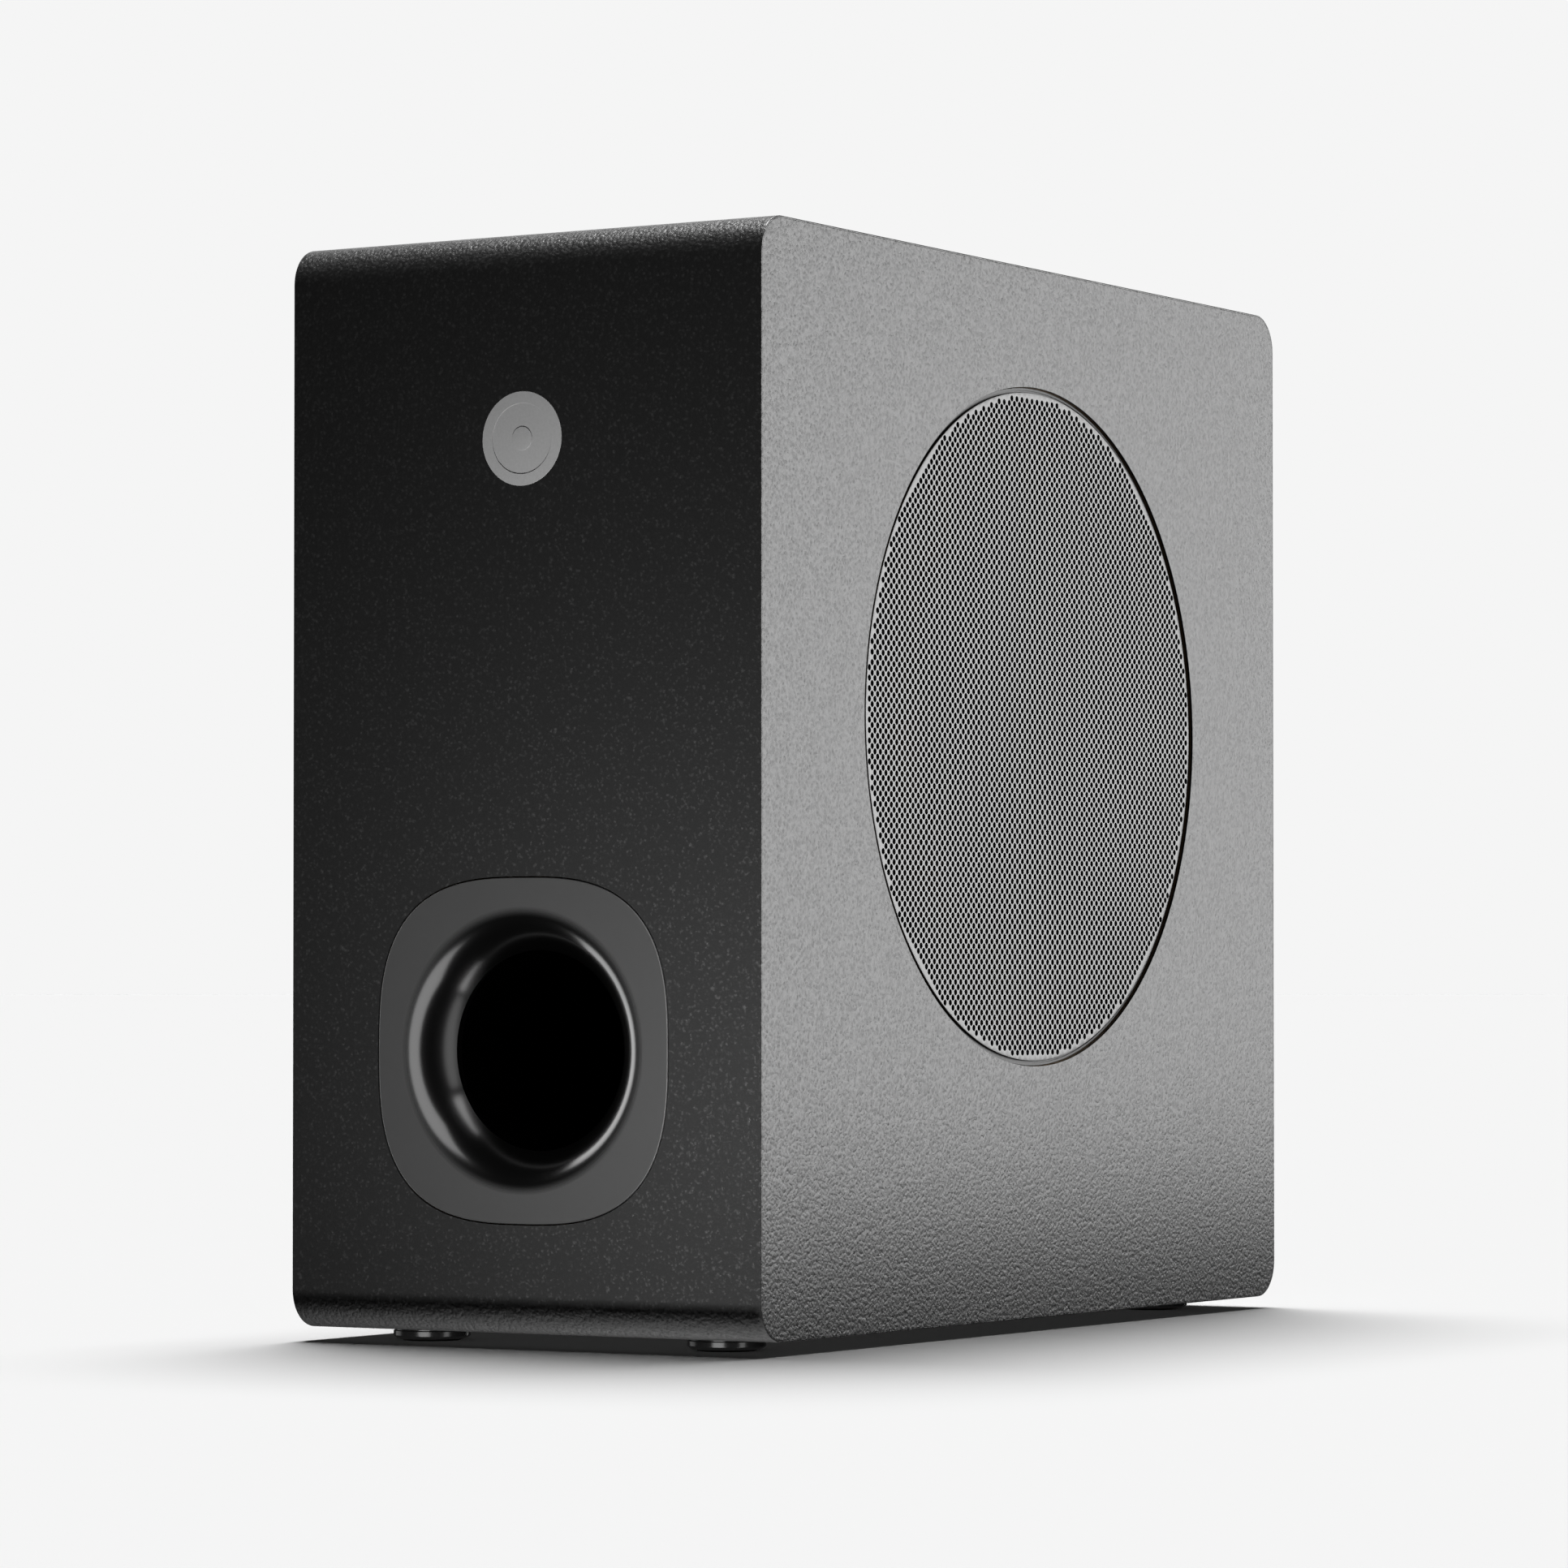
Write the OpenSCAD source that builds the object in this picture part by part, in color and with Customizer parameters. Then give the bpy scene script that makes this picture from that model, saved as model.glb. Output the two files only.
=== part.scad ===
// Powered bass box of a soundbar set: a narrow vinyl-wrapped cabinet on four round feet, with a front port,
// a side-firing woofer behind a round flat grille, and an amplifier plate let into the rear.
// Millimetres. Origin: centre of the box on the floor. +X grille side, -Y front, +Z up.

/* [Cabinet] */
// Width of the cabinet over its vinyl, along X
body_w = 142; // [136:1:160]
// Depth of the cabinet over its vinyl, along Y
body_d = 282; // [272:1:320]
// Height of the cabinet over its vinyl, without its feet
body_h = 280; // [272:1:320]
// Radius of the wrapped edges that run along the width
corner_r = 10; // [6:1:11]
// Thickness of the fibreboard panels
board_t = 12; // [12:0.5:13]
// Thickness of the vinyl
skin_t = 0.5; // [0.4:0.1:0.6]

/* [Feet] */
// Height that the feet lift the cabinet
foot_h = 3.5; // [3.2:0.1:5]
// Diameter of a foot
foot_d = 20; // [18:1:24]
// Distance of a foot's centre from the side, front and rear faces
foot_inset = 26; // [24:1:30]

/* [Grille] */
// Diameter of the round opening in the side
grille_hole_d = 181; // [179:1:183]
// Clearance round the grille disc, seen as a dark groove
groove_w = 1; // [0.8:0.1:1.2]
// Thickness of the grille sheet
grille_t = 0.8; // [0.6:0.1:1]
// Height of the woofer's axis above the middle of the cabinet
driver_up = 17.5; // [14:0.5:20]

/* [Port] */
// Side of the soft-square port surround
bezel_w = 87.6; // [85:0.1:90]
// Roundness of the surround's outline: 2 is a circle, larger is squarer
bezel_power = 2.9; // [2.6:0.1:3.4]
// Diameter of the port's throat
throat_d = 54; // [52:1:56]
// Diameter of the flare where it meets the front face
flare_d = 73; // [71:1:75]
// Distance of the port's axis below the middle of the cabinet
port_down = 68; // [66:1:70]
// Length of the port tube
port_len = 116; // [100:2:120]

/* [Badge] */
// Diameter of the plain round badge
badge_d = 24; // [20:1:26]
// Height of the badge above the middle of the cabinet
badge_up = 87; // [84:1:90]
// Width of the badge's ring
badge_ring = 3; // [2:0.5:4]

/* [Woofer] */
// Radius of the crest of the surround's roll
roll_r = 57; // [56.5:0.5:57.5]
// Radius of the roll itself
roll_size = 6; // [5.5:0.5:6]
// Radius of the cone's edge
cone_r = 51; // [50.5:0.5:51]
// Radius of the dust cap
cap_r = 20; // [18:1:21]
// Radius of the motor's ferrite ring
magnet_r = 45; // [42:1:46]

/* [Amplifier] */
// Width of the rear plate
plate_w = 100; // [98:1:102]
// Height of the rear plate
plate_h = 150; // [148:1:154]
// Thickness of the rear plate
plate_t = 3; // [2.8:0.1:3.2]
// Diameter of the pairing button's cap
button_d = 8; // [7:0.5:8.5]

/* [Hidden] */
$fn = 96;

// Cabinet
mid_z = foot_h + body_h / 2;
side_x = body_w / 2;
half_d = body_d / 2;
half_h = body_h / 2;
board_x = side_x - skin_t;
inner_x = board_x - board_t;
inner_d = half_d - skin_t - board_t;
inner_h = half_h - skin_t - board_t;
batten = 14;
glue_gap = 0.1;

// Feet
pad_r = foot_d / 2 - 2.5;
pad_t = 1.9;
foot_lift = 0.5;
foot_bevel = 0.6;
foot_head_r = 3.4;
foot_head_t = 0.8;
foot_shank_r = 1.7;
foot_screw_top = foot_h + 9.5;
foot_x = side_x - foot_inset;
foot_y = half_d - foot_inset;

// Grille
hole_r = grille_hole_d / 2;
mesh_r = hole_r - groove_w;
mesh_in = board_x - grille_t;
frame_in_r = mesh_r - 5.5;
frame_t = 5;
driver_z = mid_z + driver_up;

// Port
port_z = mid_z - port_down;
throat_r = throat_d / 2;
flare_r = flare_d / 2;
bezel_t = 2.8;
flare_depth = 13;
wall = 2.4;
gasket_t = 0.7;
tube_step = 0.5;
tube_wall = 2;
tube_y = -half_d + flare_depth + 0.4;
tube_flare = 8;
collar_gap = 0.2;
collar_y = tube_y + 9;
collar_r = throat_r + tube_step + tube_wall + collar_gap;
front_hole_r = flare_r + wall + 0.6;
bezel_gap = 0.35;

// Woofer, placed along X
flange_x = inner_x + 0.8;
flange_t = 1.5;
seat_x = flange_x + flange_t;
flange_r = 75;
baffle_side = 200;
baffle_hole_r = 63;
basket_r = 62;
sheet = 1.6;
landing_r = 48.8;
landing_x = seat_x - 27;
motor_x = seat_x - 40.3;
waist_x = seat_x - 7;
top_plate_t = 6;
magnet_t = 16;
yoke_t = 6;
plate_r = 40;
gap_out_r = 17.2;
pole_r = 14.6;
vent_r = 5;
coil_in_r = 15.2;
coil_out_r = 16.6;
former_t = 0.3;
neck_r = coil_in_r + former_t + glue_gap;
neck_x = seat_x - 19.5;
lip_w = 3.5;
skin_roll = 1;
spider_t = 0.8;
spider_x = landing_x + spider_t / 2 + glue_gap;
driver_screws_r = 70;
driver_screw_count = 6;
driver_screw_len = 12;
window_count = 8;
window_w = 24;
strip_r = 62;
strip_w = 16;
strip_x = landing_x - 0.8;
tag_z = 4.5;
lead_r = 0.6;
wire_r = 1.1;
wire_gap = 0.2;

// Amplifier, placed along Y
plate_z = 113;
plate_y = half_d - plate_t;
cut_w = plate_w - 16;
cut_h = plate_h - 16;
panel_z = plate_z - 42;
panel_w = 72;
panel_h = 30;
panel_depth = 1.2;
panel_y = half_d - panel_depth;
inlet_x = -16;
inlet_w = 24;
inlet_h = 16;
inlet_depth = 18;
inlet_flange = 2;
socket_r = 4.5;
socket_half = 3.3;
socket_depth = 13;
pin_r = 1.18;
pin_half = 4.28;
pin_len = 19.5;
pin_y = half_d - 3.5 - pin_len;
button_x = 12;
led_x = 25;
led_r = 1.5;
button_flange_t = 1.5;
button_back = plate_y - button_flange_t - 0.6;
board_y = half_d - 28;
pcb_t = 1.6;
pcb_w = 76;
pcb_h = 96;
pcb_z = plate_z + 14;
control_y = plate_y - 8;

function superellipse(a, p, n = 96) = [
    for (i = [0:n - 1])
        let (t = 360 * i / n, c = cos(t), s = sin(t))
            [a * sign(c) * pow(abs(c), 2 / p), a * sign(s) * pow(abs(s), 2 / p)]
];

// Placing helpers: outlines drawn as (Y, Z) run along X, and outlines drawn as (X, Z) run along Y
module along_x(x0, x1) {
    translate([x0, 0, 0]) rotate([90, 0, 90]) linear_extrude(x1 - x0) children();
}
module along_y(y0, y1) {
    translate([0, y1, 0]) rotate([90, 0, 0]) linear_extrude(y1 - y0) children();
}
// Turned parts: profiles are [radius, station] with the station along the axis
module woofer_turned(profile) {
    translate([0, 0, driver_z]) rotate([0, 90, 0]) rotate_extrude() polygon(profile);
}
module port_turned(profile) {
    translate([0, 0, port_z]) rotate([-90, 0, 0]) rotate_extrude() polygon(profile);
}
// Children are drawn round the woofer's axis, with their own Z along +X
module at_woofer(turn = 0, x = 0) {
    translate([x, 0, driver_z]) rotate([0, 90, 0]) rotate([0, 0, turn]) children();
}
module rounded(w, h, r) {
    square([w - 2 * r, h], center = true);
    square([w, h - 2 * r], center = true);
    for (x = [-1, 1], y = [-1, 1]) translate([x * (w / 2 - r), y * (h / 2 - r)]) circle(r);
}
// Outline of the cabinet in (Y, Z), inset evenly by d
module outline(d) {
    translate([0, mid_z]) rounded(body_d - 2 * d, body_h - 2 * d, corner_r - d);
}
// A round wire: rings swept along a smooth curve through a few points. The normal is any direction that
// the wire never runs along.
function unit(v) = v / norm(v);
function curve_at(p, i, t) =
    let (a = p[max(i - 1, 0)], b = p[i], c = p[i + 1], d = p[min(i + 2, len(p) - 1)])
        0.5 * (2 * b + (c - a) * t + (2 * a - 5 * b + 4 * c - d) * t * t + (3 * b - a - 3 * c + d) * t * t * t);
function smooth(p, m) = [
    for (i = [0:len(p) - 2], j = [0:m - 1]) curve_at(p, i, j / m),
    p[len(p) - 1]
];
module wire(points, r, normal, sides = 8) {
    path = smooth(points, 4);
    n = len(path);
    rings = [
        for (i = [0:n - 1])
            let (
                t = unit(path[min(i + 1, n - 1)] - path[max(i - 1, 0)]),
                u = unit(cross(t, normal)),
                v = cross(u, t)
            )
                for (k = [0:sides - 1]) path[i] + r * (cos(360 * k / sides) * u + sin(360 * k / sides) * v)
    ];
    skin = [
        for (i = [0:n - 2], k = [0:sides - 1])
            let (a = i * sides + k, b = i * sides + (k + 1) % sides)
                each [[a, b, b + sides], [a, b + sides, a + sides]]
    ];
    first = [for (k = [sides - 1:-1:0]) k];
    last = [for (k = [0:sides - 1]) (n - 1) * sides + k];
    polyhedron(points = rings, faces = concat(skin, [first, last]));
}
module tube(r_out, r_in, h) {
    difference() {
        cylinder(h = h, r = r_out);
        translate([0, 0, -1]) cylinder(h = h + 2, r = r_in);
    }
}
module block(centre, size) {
    translate(centre) cube(size, center = true);
}

// Skins
module amp_window(margin) {
    translate([0, plate_z]) square([plate_w + 2 * margin, plate_h + 2 * margin], center = true);
}
module vinyl_wrap() {
    color("#26272a") difference() {
        along_x(-side_x, side_x) difference() {
            outline(0);
            outline(skin_t);
        }
        along_y(-half_d - 1, -half_d + 1) union() {
            translate([0, port_z]) polygon(superellipse(bezel_w / 2 + bezel_gap, bezel_power));
            translate([0, mid_z + badge_up]) circle(badge_d / 2 + glue_gap);
        }
        along_y(half_d - 1, half_d + 1) amp_window(0.3);
        for (x = [-foot_x, foot_x], y = [-foot_y, foot_y])
            translate([x, y, foot_h - 1]) cylinder(h = 2, r = foot_shank_r + 0.8);
    }
}
module vinyl_left() {
    color("#26272a") along_x(-side_x, -board_x) outline(skin_t);
}
module vinyl_right() {
    color("#26272a") along_x(board_x, side_x) difference() {
        outline(skin_t);
        translate([0, driver_z]) circle(hole_r);
    }
}

// Panels. The four wrapped panels meet in mitres at the corners of the inner space.
module mitre_panel(c0, c1) {
    reach = 2 * board_t;
    i0 = [c0[0] * inner_d, mid_z + c0[1] * inner_h];
    i1 = [c1[0] * inner_d, mid_z + c1[1] * inner_h];
    along_x(-inner_x, inner_x) intersection() {
        outline(skin_t);
        polygon([i0, i0 + reach * c0, i1 + reach * c1, i1]);
    }
}
module front_board() {
    color("#a98a63") difference() {
        mitre_panel([-1, 1], [-1, -1]);
        translate([0, -half_d - 1, port_z]) rotate([-90, 0, 0]) cylinder(h = board_t + 3, r = front_hole_r);
        along_y(-half_d - 1, -half_d + bezel_t + gasket_t) translate([0, port_z])
            polygon(superellipse(bezel_w / 2 + bezel_gap, bezel_power));
    }
}
module top_board() {
    color("#a98a63") mitre_panel([-1, 1], [1, 1]);
}
module rear_board() {
    color("#a98a63") difference() {
        mitre_panel([1, 1], [1, -1]);
        along_y(plate_y - gasket_t, half_d + 1) amp_window(0.3);
        along_y(inner_d - 1, half_d) translate([0, plate_z]) square([cut_w, cut_h], center = true);
        for (p = plate_screw_places()) translate([p[0], inner_d + 2, p[1]]) rotate([-90, 0, 0])
            cylinder(h = board_t, r = 1.5);
    }
}
module bottom_board() {
    color("#a98a63") difference() {
        mitre_panel([-1, -1], [1, -1]);
        for (x = [-foot_x, foot_x], y = [-foot_y, foot_y])
            translate([x, y, foot_h]) cylinder(h = foot_screw_top - foot_h + 0.5, r = foot_shank_r + glue_gap);
    }
}
module left_side_board() {
    color("#a98a63") along_x(-board_x, -inner_x) outline(skin_t);
}
module right_side_board() {
    color("#a98a63") along_x(inner_x, board_x) difference() {
        outline(skin_t);
        translate([0, driver_z]) circle(hole_r);
    }
}
module driver_baffle() {
    color("#a98a63") difference() {
        along_x(inner_x - board_t, inner_x) difference() {
            translate([0, driver_z]) rounded(baffle_side, baffle_side, 6);
            translate([0, driver_z]) circle(baffle_hole_r);
        }
        for (i = [0:driver_screw_count - 1]) at_woofer(i * 360 / driver_screw_count, inner_x - 10)
            translate([driver_screws_r, 0, 0]) cylinder(h = 11, r = 1.9);
    }
}
module corner_battens() {
    color("#c9a878") for (y = [-1, 1], z = [-1, 1]) along_x(-inner_x, inner_x)
        translate([0, mid_z]) polygon([
            [y * inner_d, z * inner_h],
            [y * (inner_d - batten), z * inner_h],
            [y * inner_d, z * (inner_h - batten)]
        ]);
}

// Grille
module grille_mesh() {
    color("#3a3c40") at_woofer(0, mesh_in) cylinder(h = grille_t, r = mesh_r);
}
module grille_frame() {
    color("#101112") woofer_turned([
        [frame_in_r, mesh_in - frame_t], [hole_r - 0.2, mesh_in - frame_t], [hole_r - 0.2, mesh_in + 0.3],
        [mesh_r + 0.2, mesh_in + 0.3], [mesh_r + 0.2, mesh_in], [frame_in_r, mesh_in]
    ]);
}

// Badge: a plain disc, flush with the vinyl, with a groove that leaves a ring round a dot
module front_badge() {
    color("#8f9293") translate([0, -half_d, mid_z + badge_up]) rotate([-90, 0, 0]) difference() {
        cylinder(h = skin_t, r = badge_d / 2);
        translate([0, 0, -1]) tube(badge_d / 2 - badge_ring, badge_d / 8, 1 + skin_t / 2);
    }
}

// Port
// Half-width of the flare at a fraction t of its depth: a quarter of an ellipse
function flare_at(t) = flare_r - (flare_r - throat_r) * sqrt(1 - pow(1 - t, 2));
module port_bezel() {
    steps = 14;
    face_y = -half_d;
    flare = [for (i = [0:steps]) [flare_at(i / steps), face_y + flare_depth * i / steps]];
    color("#2d2e30") {
        along_y(face_y, face_y + bezel_t) difference() {
            translate([0, port_z]) polygon(superellipse(bezel_w / 2, bezel_power));
            translate([0, port_z]) circle(flare_r + wall / 2);
        }
        port_turned(concat(flare, [
            [collar_r, tube_y - 0.4], [collar_r, collar_y], [collar_r + wall, collar_y],
            [collar_r + wall, face_y + bezel_t + 5], [flare_r + wall, face_y + bezel_t], [flare_r + wall, face_y]
        ]));
    }
}
module port_gasket() {
    y0 = -half_d + bezel_t;
    color("#1a1a1a") along_y(y0, y0 + gasket_t) difference() {
        translate([0, port_z]) polygon(superellipse(bezel_w / 2 - 1, bezel_power));
        translate([0, port_z]) circle(front_hole_r);
    }
}
module port_tube() {
    r = throat_r + tube_step;
    color("#151516") translate([0, tube_y, port_z]) rotate([-90, 0, 0])
        tube(r + tube_wall, r, port_len - tube_flare);
}
// A flare glued over the tube's inner end
module port_flare() {
    r = throat_r + tube_step;
    y0 = tube_y + port_len - tube_flare;
    socket_r0 = r + tube_wall + glue_gap;
    steps = 8;
    function curve(t) = tube_flare * (1 - sqrt(1 - t * t));
    inside = [for (i = [steps:-1:0]) let (t = i / steps) [r + curve(t), y0 + glue_gap + tube_flare * t]];
    outside = [
        for (i = [0:steps])
            let (t = i / steps) [socket_r0 + tube_wall + curve(t) * 0.8, y0 + glue_gap + tube_flare * t]
    ];
    color("#151516") port_turned(concat(
        inside,
        [[socket_r0, y0 + glue_gap], [socket_r0, y0 - 6], [socket_r0 + tube_wall, y0 - 6]],
        outside
    ));
}

// Feet
module foot(x, y) {
    color("#1b1c1e") translate([x, y, 0]) difference() {
        union() {
            translate([0, 0, foot_lift])
                cylinder(h = foot_bevel, r1 = foot_d / 2 - foot_bevel, r2 = foot_d / 2);
            translate([0, 0, foot_lift + foot_bevel])
                cylinder(h = foot_h - foot_lift - foot_bevel, r = foot_d / 2);
        }
        translate([0, 0, -1]) cylinder(h = pad_t + 1, r = pad_r + glue_gap);
        cylinder(h = pad_t + foot_head_t, r = foot_head_r + 0.2);
        cylinder(h = foot_h + 1, r = foot_shank_r + 0.3);
    }
}
module foot_pads() {
    color("#0d0d0d") for (x = [-foot_x, foot_x], y = [-foot_y, foot_y])
        translate([x, y, 0]) cylinder(h = pad_t, r = pad_r);
}
module foot_screws() {
    color("#9a9a9a") for (x = [-foot_x, foot_x], y = [-foot_y, foot_y]) translate([x, y, pad_t]) difference() {
        union() {
            cylinder(h = foot_head_t, r = foot_head_r);
            cylinder(h = foot_screw_top - pad_t, r = foot_shank_r);
        }
        for (a = [0, 90]) rotate([0, 0, a]) cube([3.6, 0.9, 0.9], center = true);
    }
}

// Woofer
module driver_gasket() {
    color("#161616") difference() {
        at_woofer(0, inner_x) tube(flange_r - 0.5, baffle_hole_r + 0.5, flange_x - inner_x);
        for (i = [0:driver_screw_count - 1]) at_woofer(i * 360 / driver_screw_count, inner_x - 1)
            translate([driver_screws_r, 0, 0]) cylinder(h = 3, r = 2.2);
    }
}
module driver_basket() {
    in_r = basket_r - sheet;
    color("#4a4c50") difference() {
        woofer_turned([
            [flange_r, flange_x], [flange_r, seat_x], [in_r, seat_x], [in_r, waist_x + 0.4],
            [landing_r - sheet, landing_x + 1.8], [landing_r - sheet, landing_x],
            [landing_r - 4 * sheet, landing_x], [plate_r - sheet, motor_x + sheet],
            [gap_out_r + 0.4, motor_x + sheet], [gap_out_r + 0.4, motor_x], [plate_r - 0.5, motor_x],
            [landing_r - 3.4 * sheet, landing_x - sheet], [landing_r, landing_x - sheet],
            [landing_r, landing_x + 1.2], [basket_r, waist_x], [basket_r, flange_x]
        ]);
        for (i = [0:window_count - 1]) at_woofer(i * 360 / window_count, landing_x + 4.5)
            translate([landing_r - 8, -window_w / 2, 0]) cube([basket_r, window_w, 13]);
        for (i = [0:driver_screw_count - 1]) at_woofer(i * 360 / driver_screw_count, flange_x - 1)
            translate([driver_screws_r, 0, 0]) cylinder(h = 4, r = 2.2);
    }
}
module driver_screws() {
    color("#2a2a2a") for (i = [0:driver_screw_count - 1])
        at_woofer(i * 360 / driver_screw_count, seat_x) translate([driver_screws_r, 0, 0]) difference() {
            union() {
                cylinder(h = 2, r = 3.4);
                translate([0, 0, -driver_screw_len]) cylinder(h = driver_screw_len, r = 1.8);
            }
            for (a = [0, 90]) rotate([0, 0, a]) translate([0, 0, 2]) cube([3.6, 0.9, 1.6], center = true);
        }
}
module surround() {
    in_r = roll_r - roll_size;
    out_r = roll_r + roll_size;
    color("#1d1d1f") translate([0, 0, driver_z]) rotate([0, 90, 0]) rotate_extrude() union() {
        intersection() {
            difference() {
                translate([roll_r, seat_x]) circle(roll_size);
                translate([roll_r, seat_x]) circle(roll_size - skin_roll);
            }
            translate([in_r - 1, seat_x]) square([2 * roll_size + 2, roll_size + 1]);
        }
        translate([in_r - lip_w, seat_x]) square([lip_w + skin_roll / 2, skin_roll]);
        translate([out_r - skin_roll / 2, seat_x]) square([lip_w, skin_roll]);
    }
}
module cone() {
    rim = cone_r - lip_w;
    color("#34363a") woofer_turned([
        [cone_r, seat_x - 1], [cone_r, seat_x], [rim, seat_x], [neck_r, neck_x], [neck_r, neck_x - 1.2],
        [rim + 0.5, seat_x - 1]
    ]);
}
module dust_cap() {
    rise = 7;
    shell = 0.8;
    ball = (cap_r * cap_r + rise * rise) / (2 * rise);
    rim = cone_r - lip_w;
    base_x = neck_x + (cap_r - neck_r) * (seat_x - neck_x) / (rim - neck_r);
    color("#2b2d30") translate([0, 0, driver_z]) rotate([0, 90, 0]) rotate_extrude() intersection() {
        difference() {
            translate([0, base_x + rise - ball]) circle(ball);
            translate([0, base_x + rise - ball]) circle(ball - shell);
        }
        translate([0, base_x]) square([cap_r + 1, rise + 1]);
    }
}
module voice_coil_former() {
    color("#c9a227") at_woofer(0, motor_x - 9) tube(coil_in_r + former_t, coil_in_r, neck_x + 1.5 - motor_x + 9);
}
module voice_coil() {
    color("#b87333") at_woofer(0, motor_x - 9) tube(coil_out_r, coil_in_r + former_t, 12);
}
module spider() {
    r0 = coil_in_r + former_t + glue_gap;
    r1 = landing_r - sheet - 0.4;
    waves = 6;
    n = 48;
    flat = 0.5 / waves;
    function lift(t) = 1.1 * sin(360 * waves * t) * (t < flat || t > 1 - flat ? 0 : 1);
    top = [for (i = [0:n]) [r0 + (r1 - r0) * i / n, spider_x + spider_t / 2 + lift(i / n)]];
    under = [for (i = [n:-1:0]) [r0 + (r1 - r0) * i / n, spider_x - spider_t / 2 + lift(i / n)]];
    color("#b9803a") woofer_turned(concat(top, under));
}
module top_plate() {
    color("#8c8f92") at_woofer(0, motor_x - top_plate_t) tube(plate_r, gap_out_r, top_plate_t);
}
module ferrite_magnet() {
    color("#3c3c3e") at_woofer(0, motor_x - top_plate_t - magnet_t) tube(magnet_r, 22, magnet_t);
}
module pole_yoke() {
    back = motor_x - top_plate_t - magnet_t - yoke_t;
    color("#8c8f92") woofer_turned([
        [vent_r, back], [plate_r, back], [plate_r, back + yoke_t], [pole_r, back + yoke_t], [pole_r, motor_x],
        [vent_r, motor_x]
    ]);
}
// The strip stands on the basket's landing ring, towards the rear
module terminal_strip() {
    color("#6b4a2b") difference() {
        block([strip_x, (landing_r + strip_r) / 2, driver_z], [sheet, strip_r - landing_r + 1, strip_w]);
        at_woofer(0, strip_x - 3) cylinder(h = 6, r = landing_r);
    }
}
module terminal_tags() {
    t = 0.5;
    color("#c9b037") for (z = [-tag_z, tag_z]) {
        block([strip_x + (sheet + t) / 2, strip_r - 2.25, driver_z + z], [t, 8, 3]);
        block([strip_x - 1.5, strip_r + 1.5 + t / 2, driver_z + z], [6, t, 3]);
    }
}
// Braided leads from the back of the cone, through a basket window, to the tags
module tinsel_leads() {
    color("#c08040") for (z = [-tag_z, tag_z]) wire([
        [neck_x + 4, 27, driver_z + z], [neck_x + 1.5, 34, driver_z + z], [neck_x + 1, 44, driver_z + z],
        [landing_x + 5, 52, driver_z + z], [strip_x + 2, 57, driver_z + z]
    ], lead_r, [0, 0, 1], 6);
}

// Amplifier
function plate_screw_places() = [
    for (x = [-1, 1], z = [-1, 0, 1]) [x * (plate_w / 2 - 4), plate_z + z * (plate_h / 2 - 4)],
    for (z = [-1, 1]) [0, plate_z + z * (plate_h / 2 - 4)]
];
module amp_gasket() {
    color("#161616") difference() {
        along_y(plate_y - gasket_t, plate_y) difference() {
            amp_window(-0.3);
            translate([0, plate_z]) square([cut_w, cut_h], center = true);
        }
        for (p = plate_screw_places()) translate([p[0], plate_y - 2, p[1]]) rotate([-90, 0, 0])
            cylinder(h = 4, r = 1.8);
    }
}
module amp_plate() {
    groove_pitch = 5;
    color("#1e1f21") difference() {
        along_y(plate_y, half_d) difference() {
            amp_window(0);
            for (p = plate_screw_places()) translate(p) circle(1.8);
            translate([inlet_x, panel_z]) square([inlet_w + 0.4, inlet_h + 0.4], center = true);
            translate([button_x, panel_z]) circle(button_d / 2 + 0.3);
            translate([led_x, panel_z]) circle(led_r + 0.2);
        }
        along_y(panel_y, half_d + 1) translate([0, panel_z]) rounded(panel_w, panel_h, 4);
        for (p = plate_screw_places()) translate([p[0], half_d - 1.2, p[1]]) rotate([-90, 0, 0])
            cylinder(h = 2, r = 3.3);
        for (i = [0:9]) block([0, half_d, plate_z + 4 + i * groove_pitch], [panel_w, 1.6, 2]);
    }
}
module amp_plate_screws() {
    color("#2c2c2e") for (p = plate_screw_places())
        translate([p[0], half_d - 1.2, p[1]]) rotate([-90, 0, 0]) difference() {
            union() {
                cylinder(h = 1, r = 3);
                translate([0, 0, -8]) cylinder(h = 8, r = 1.4);
            }
            for (a = [0, 90]) rotate([0, 0, a]) translate([0, 0, 1]) cube([3.4, 0.8, 1.2], center = true);
        }
}
module mains_inlet() {
    color("#141415") difference() {
        union() {
            block([inlet_x, half_d - panel_depth - inlet_depth / 2, panel_z], [inlet_w, inlet_depth, inlet_h]);
            along_y(panel_y, half_d - 0.1) translate([inlet_x, panel_z])
                rounded(inlet_w + 2 * inlet_flange, inlet_h + 2 * inlet_flange, 2);
        }
        along_y(half_d - 0.1 - socket_depth, half_d + 1) translate([inlet_x, panel_z]) {
            for (x = [-socket_half, socket_half]) translate([x, 0]) circle(socket_r);
            square([2 * socket_half, 1.6 * socket_r], center = true);
        }
        for (x = [-pin_half, pin_half]) translate([inlet_x + x, pin_y, panel_z]) rotate([-90, 0, 0])
            cylinder(h = inlet_depth, r = pin_r + 0.05);
    }
}
module inlet_pins() {
    color("#c8c8c8") for (x = [-pin_half, pin_half]) translate([inlet_x + x, pin_y, panel_z]) rotate([-90, 0, 0])
        cylinder(h = pin_len, r = pin_r);
}
module pair_button() {
    color("#1a1b1d") translate([button_x, 0, panel_z]) rotate([-90, 0, 0]) {
        translate([0, 0, button_back]) cylinder(h = half_d - 0.5 - button_back, r = button_d / 2);
        translate([0, 0, button_back]) cylinder(h = button_flange_t, r = button_d / 2 + 1.2);
    }
}
module control_board() {
    color("#1f5a37") block([(button_x + led_x) / 2, control_y - pcb_t / 2, panel_z], [32, pcb_t, 18]);
}
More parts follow.
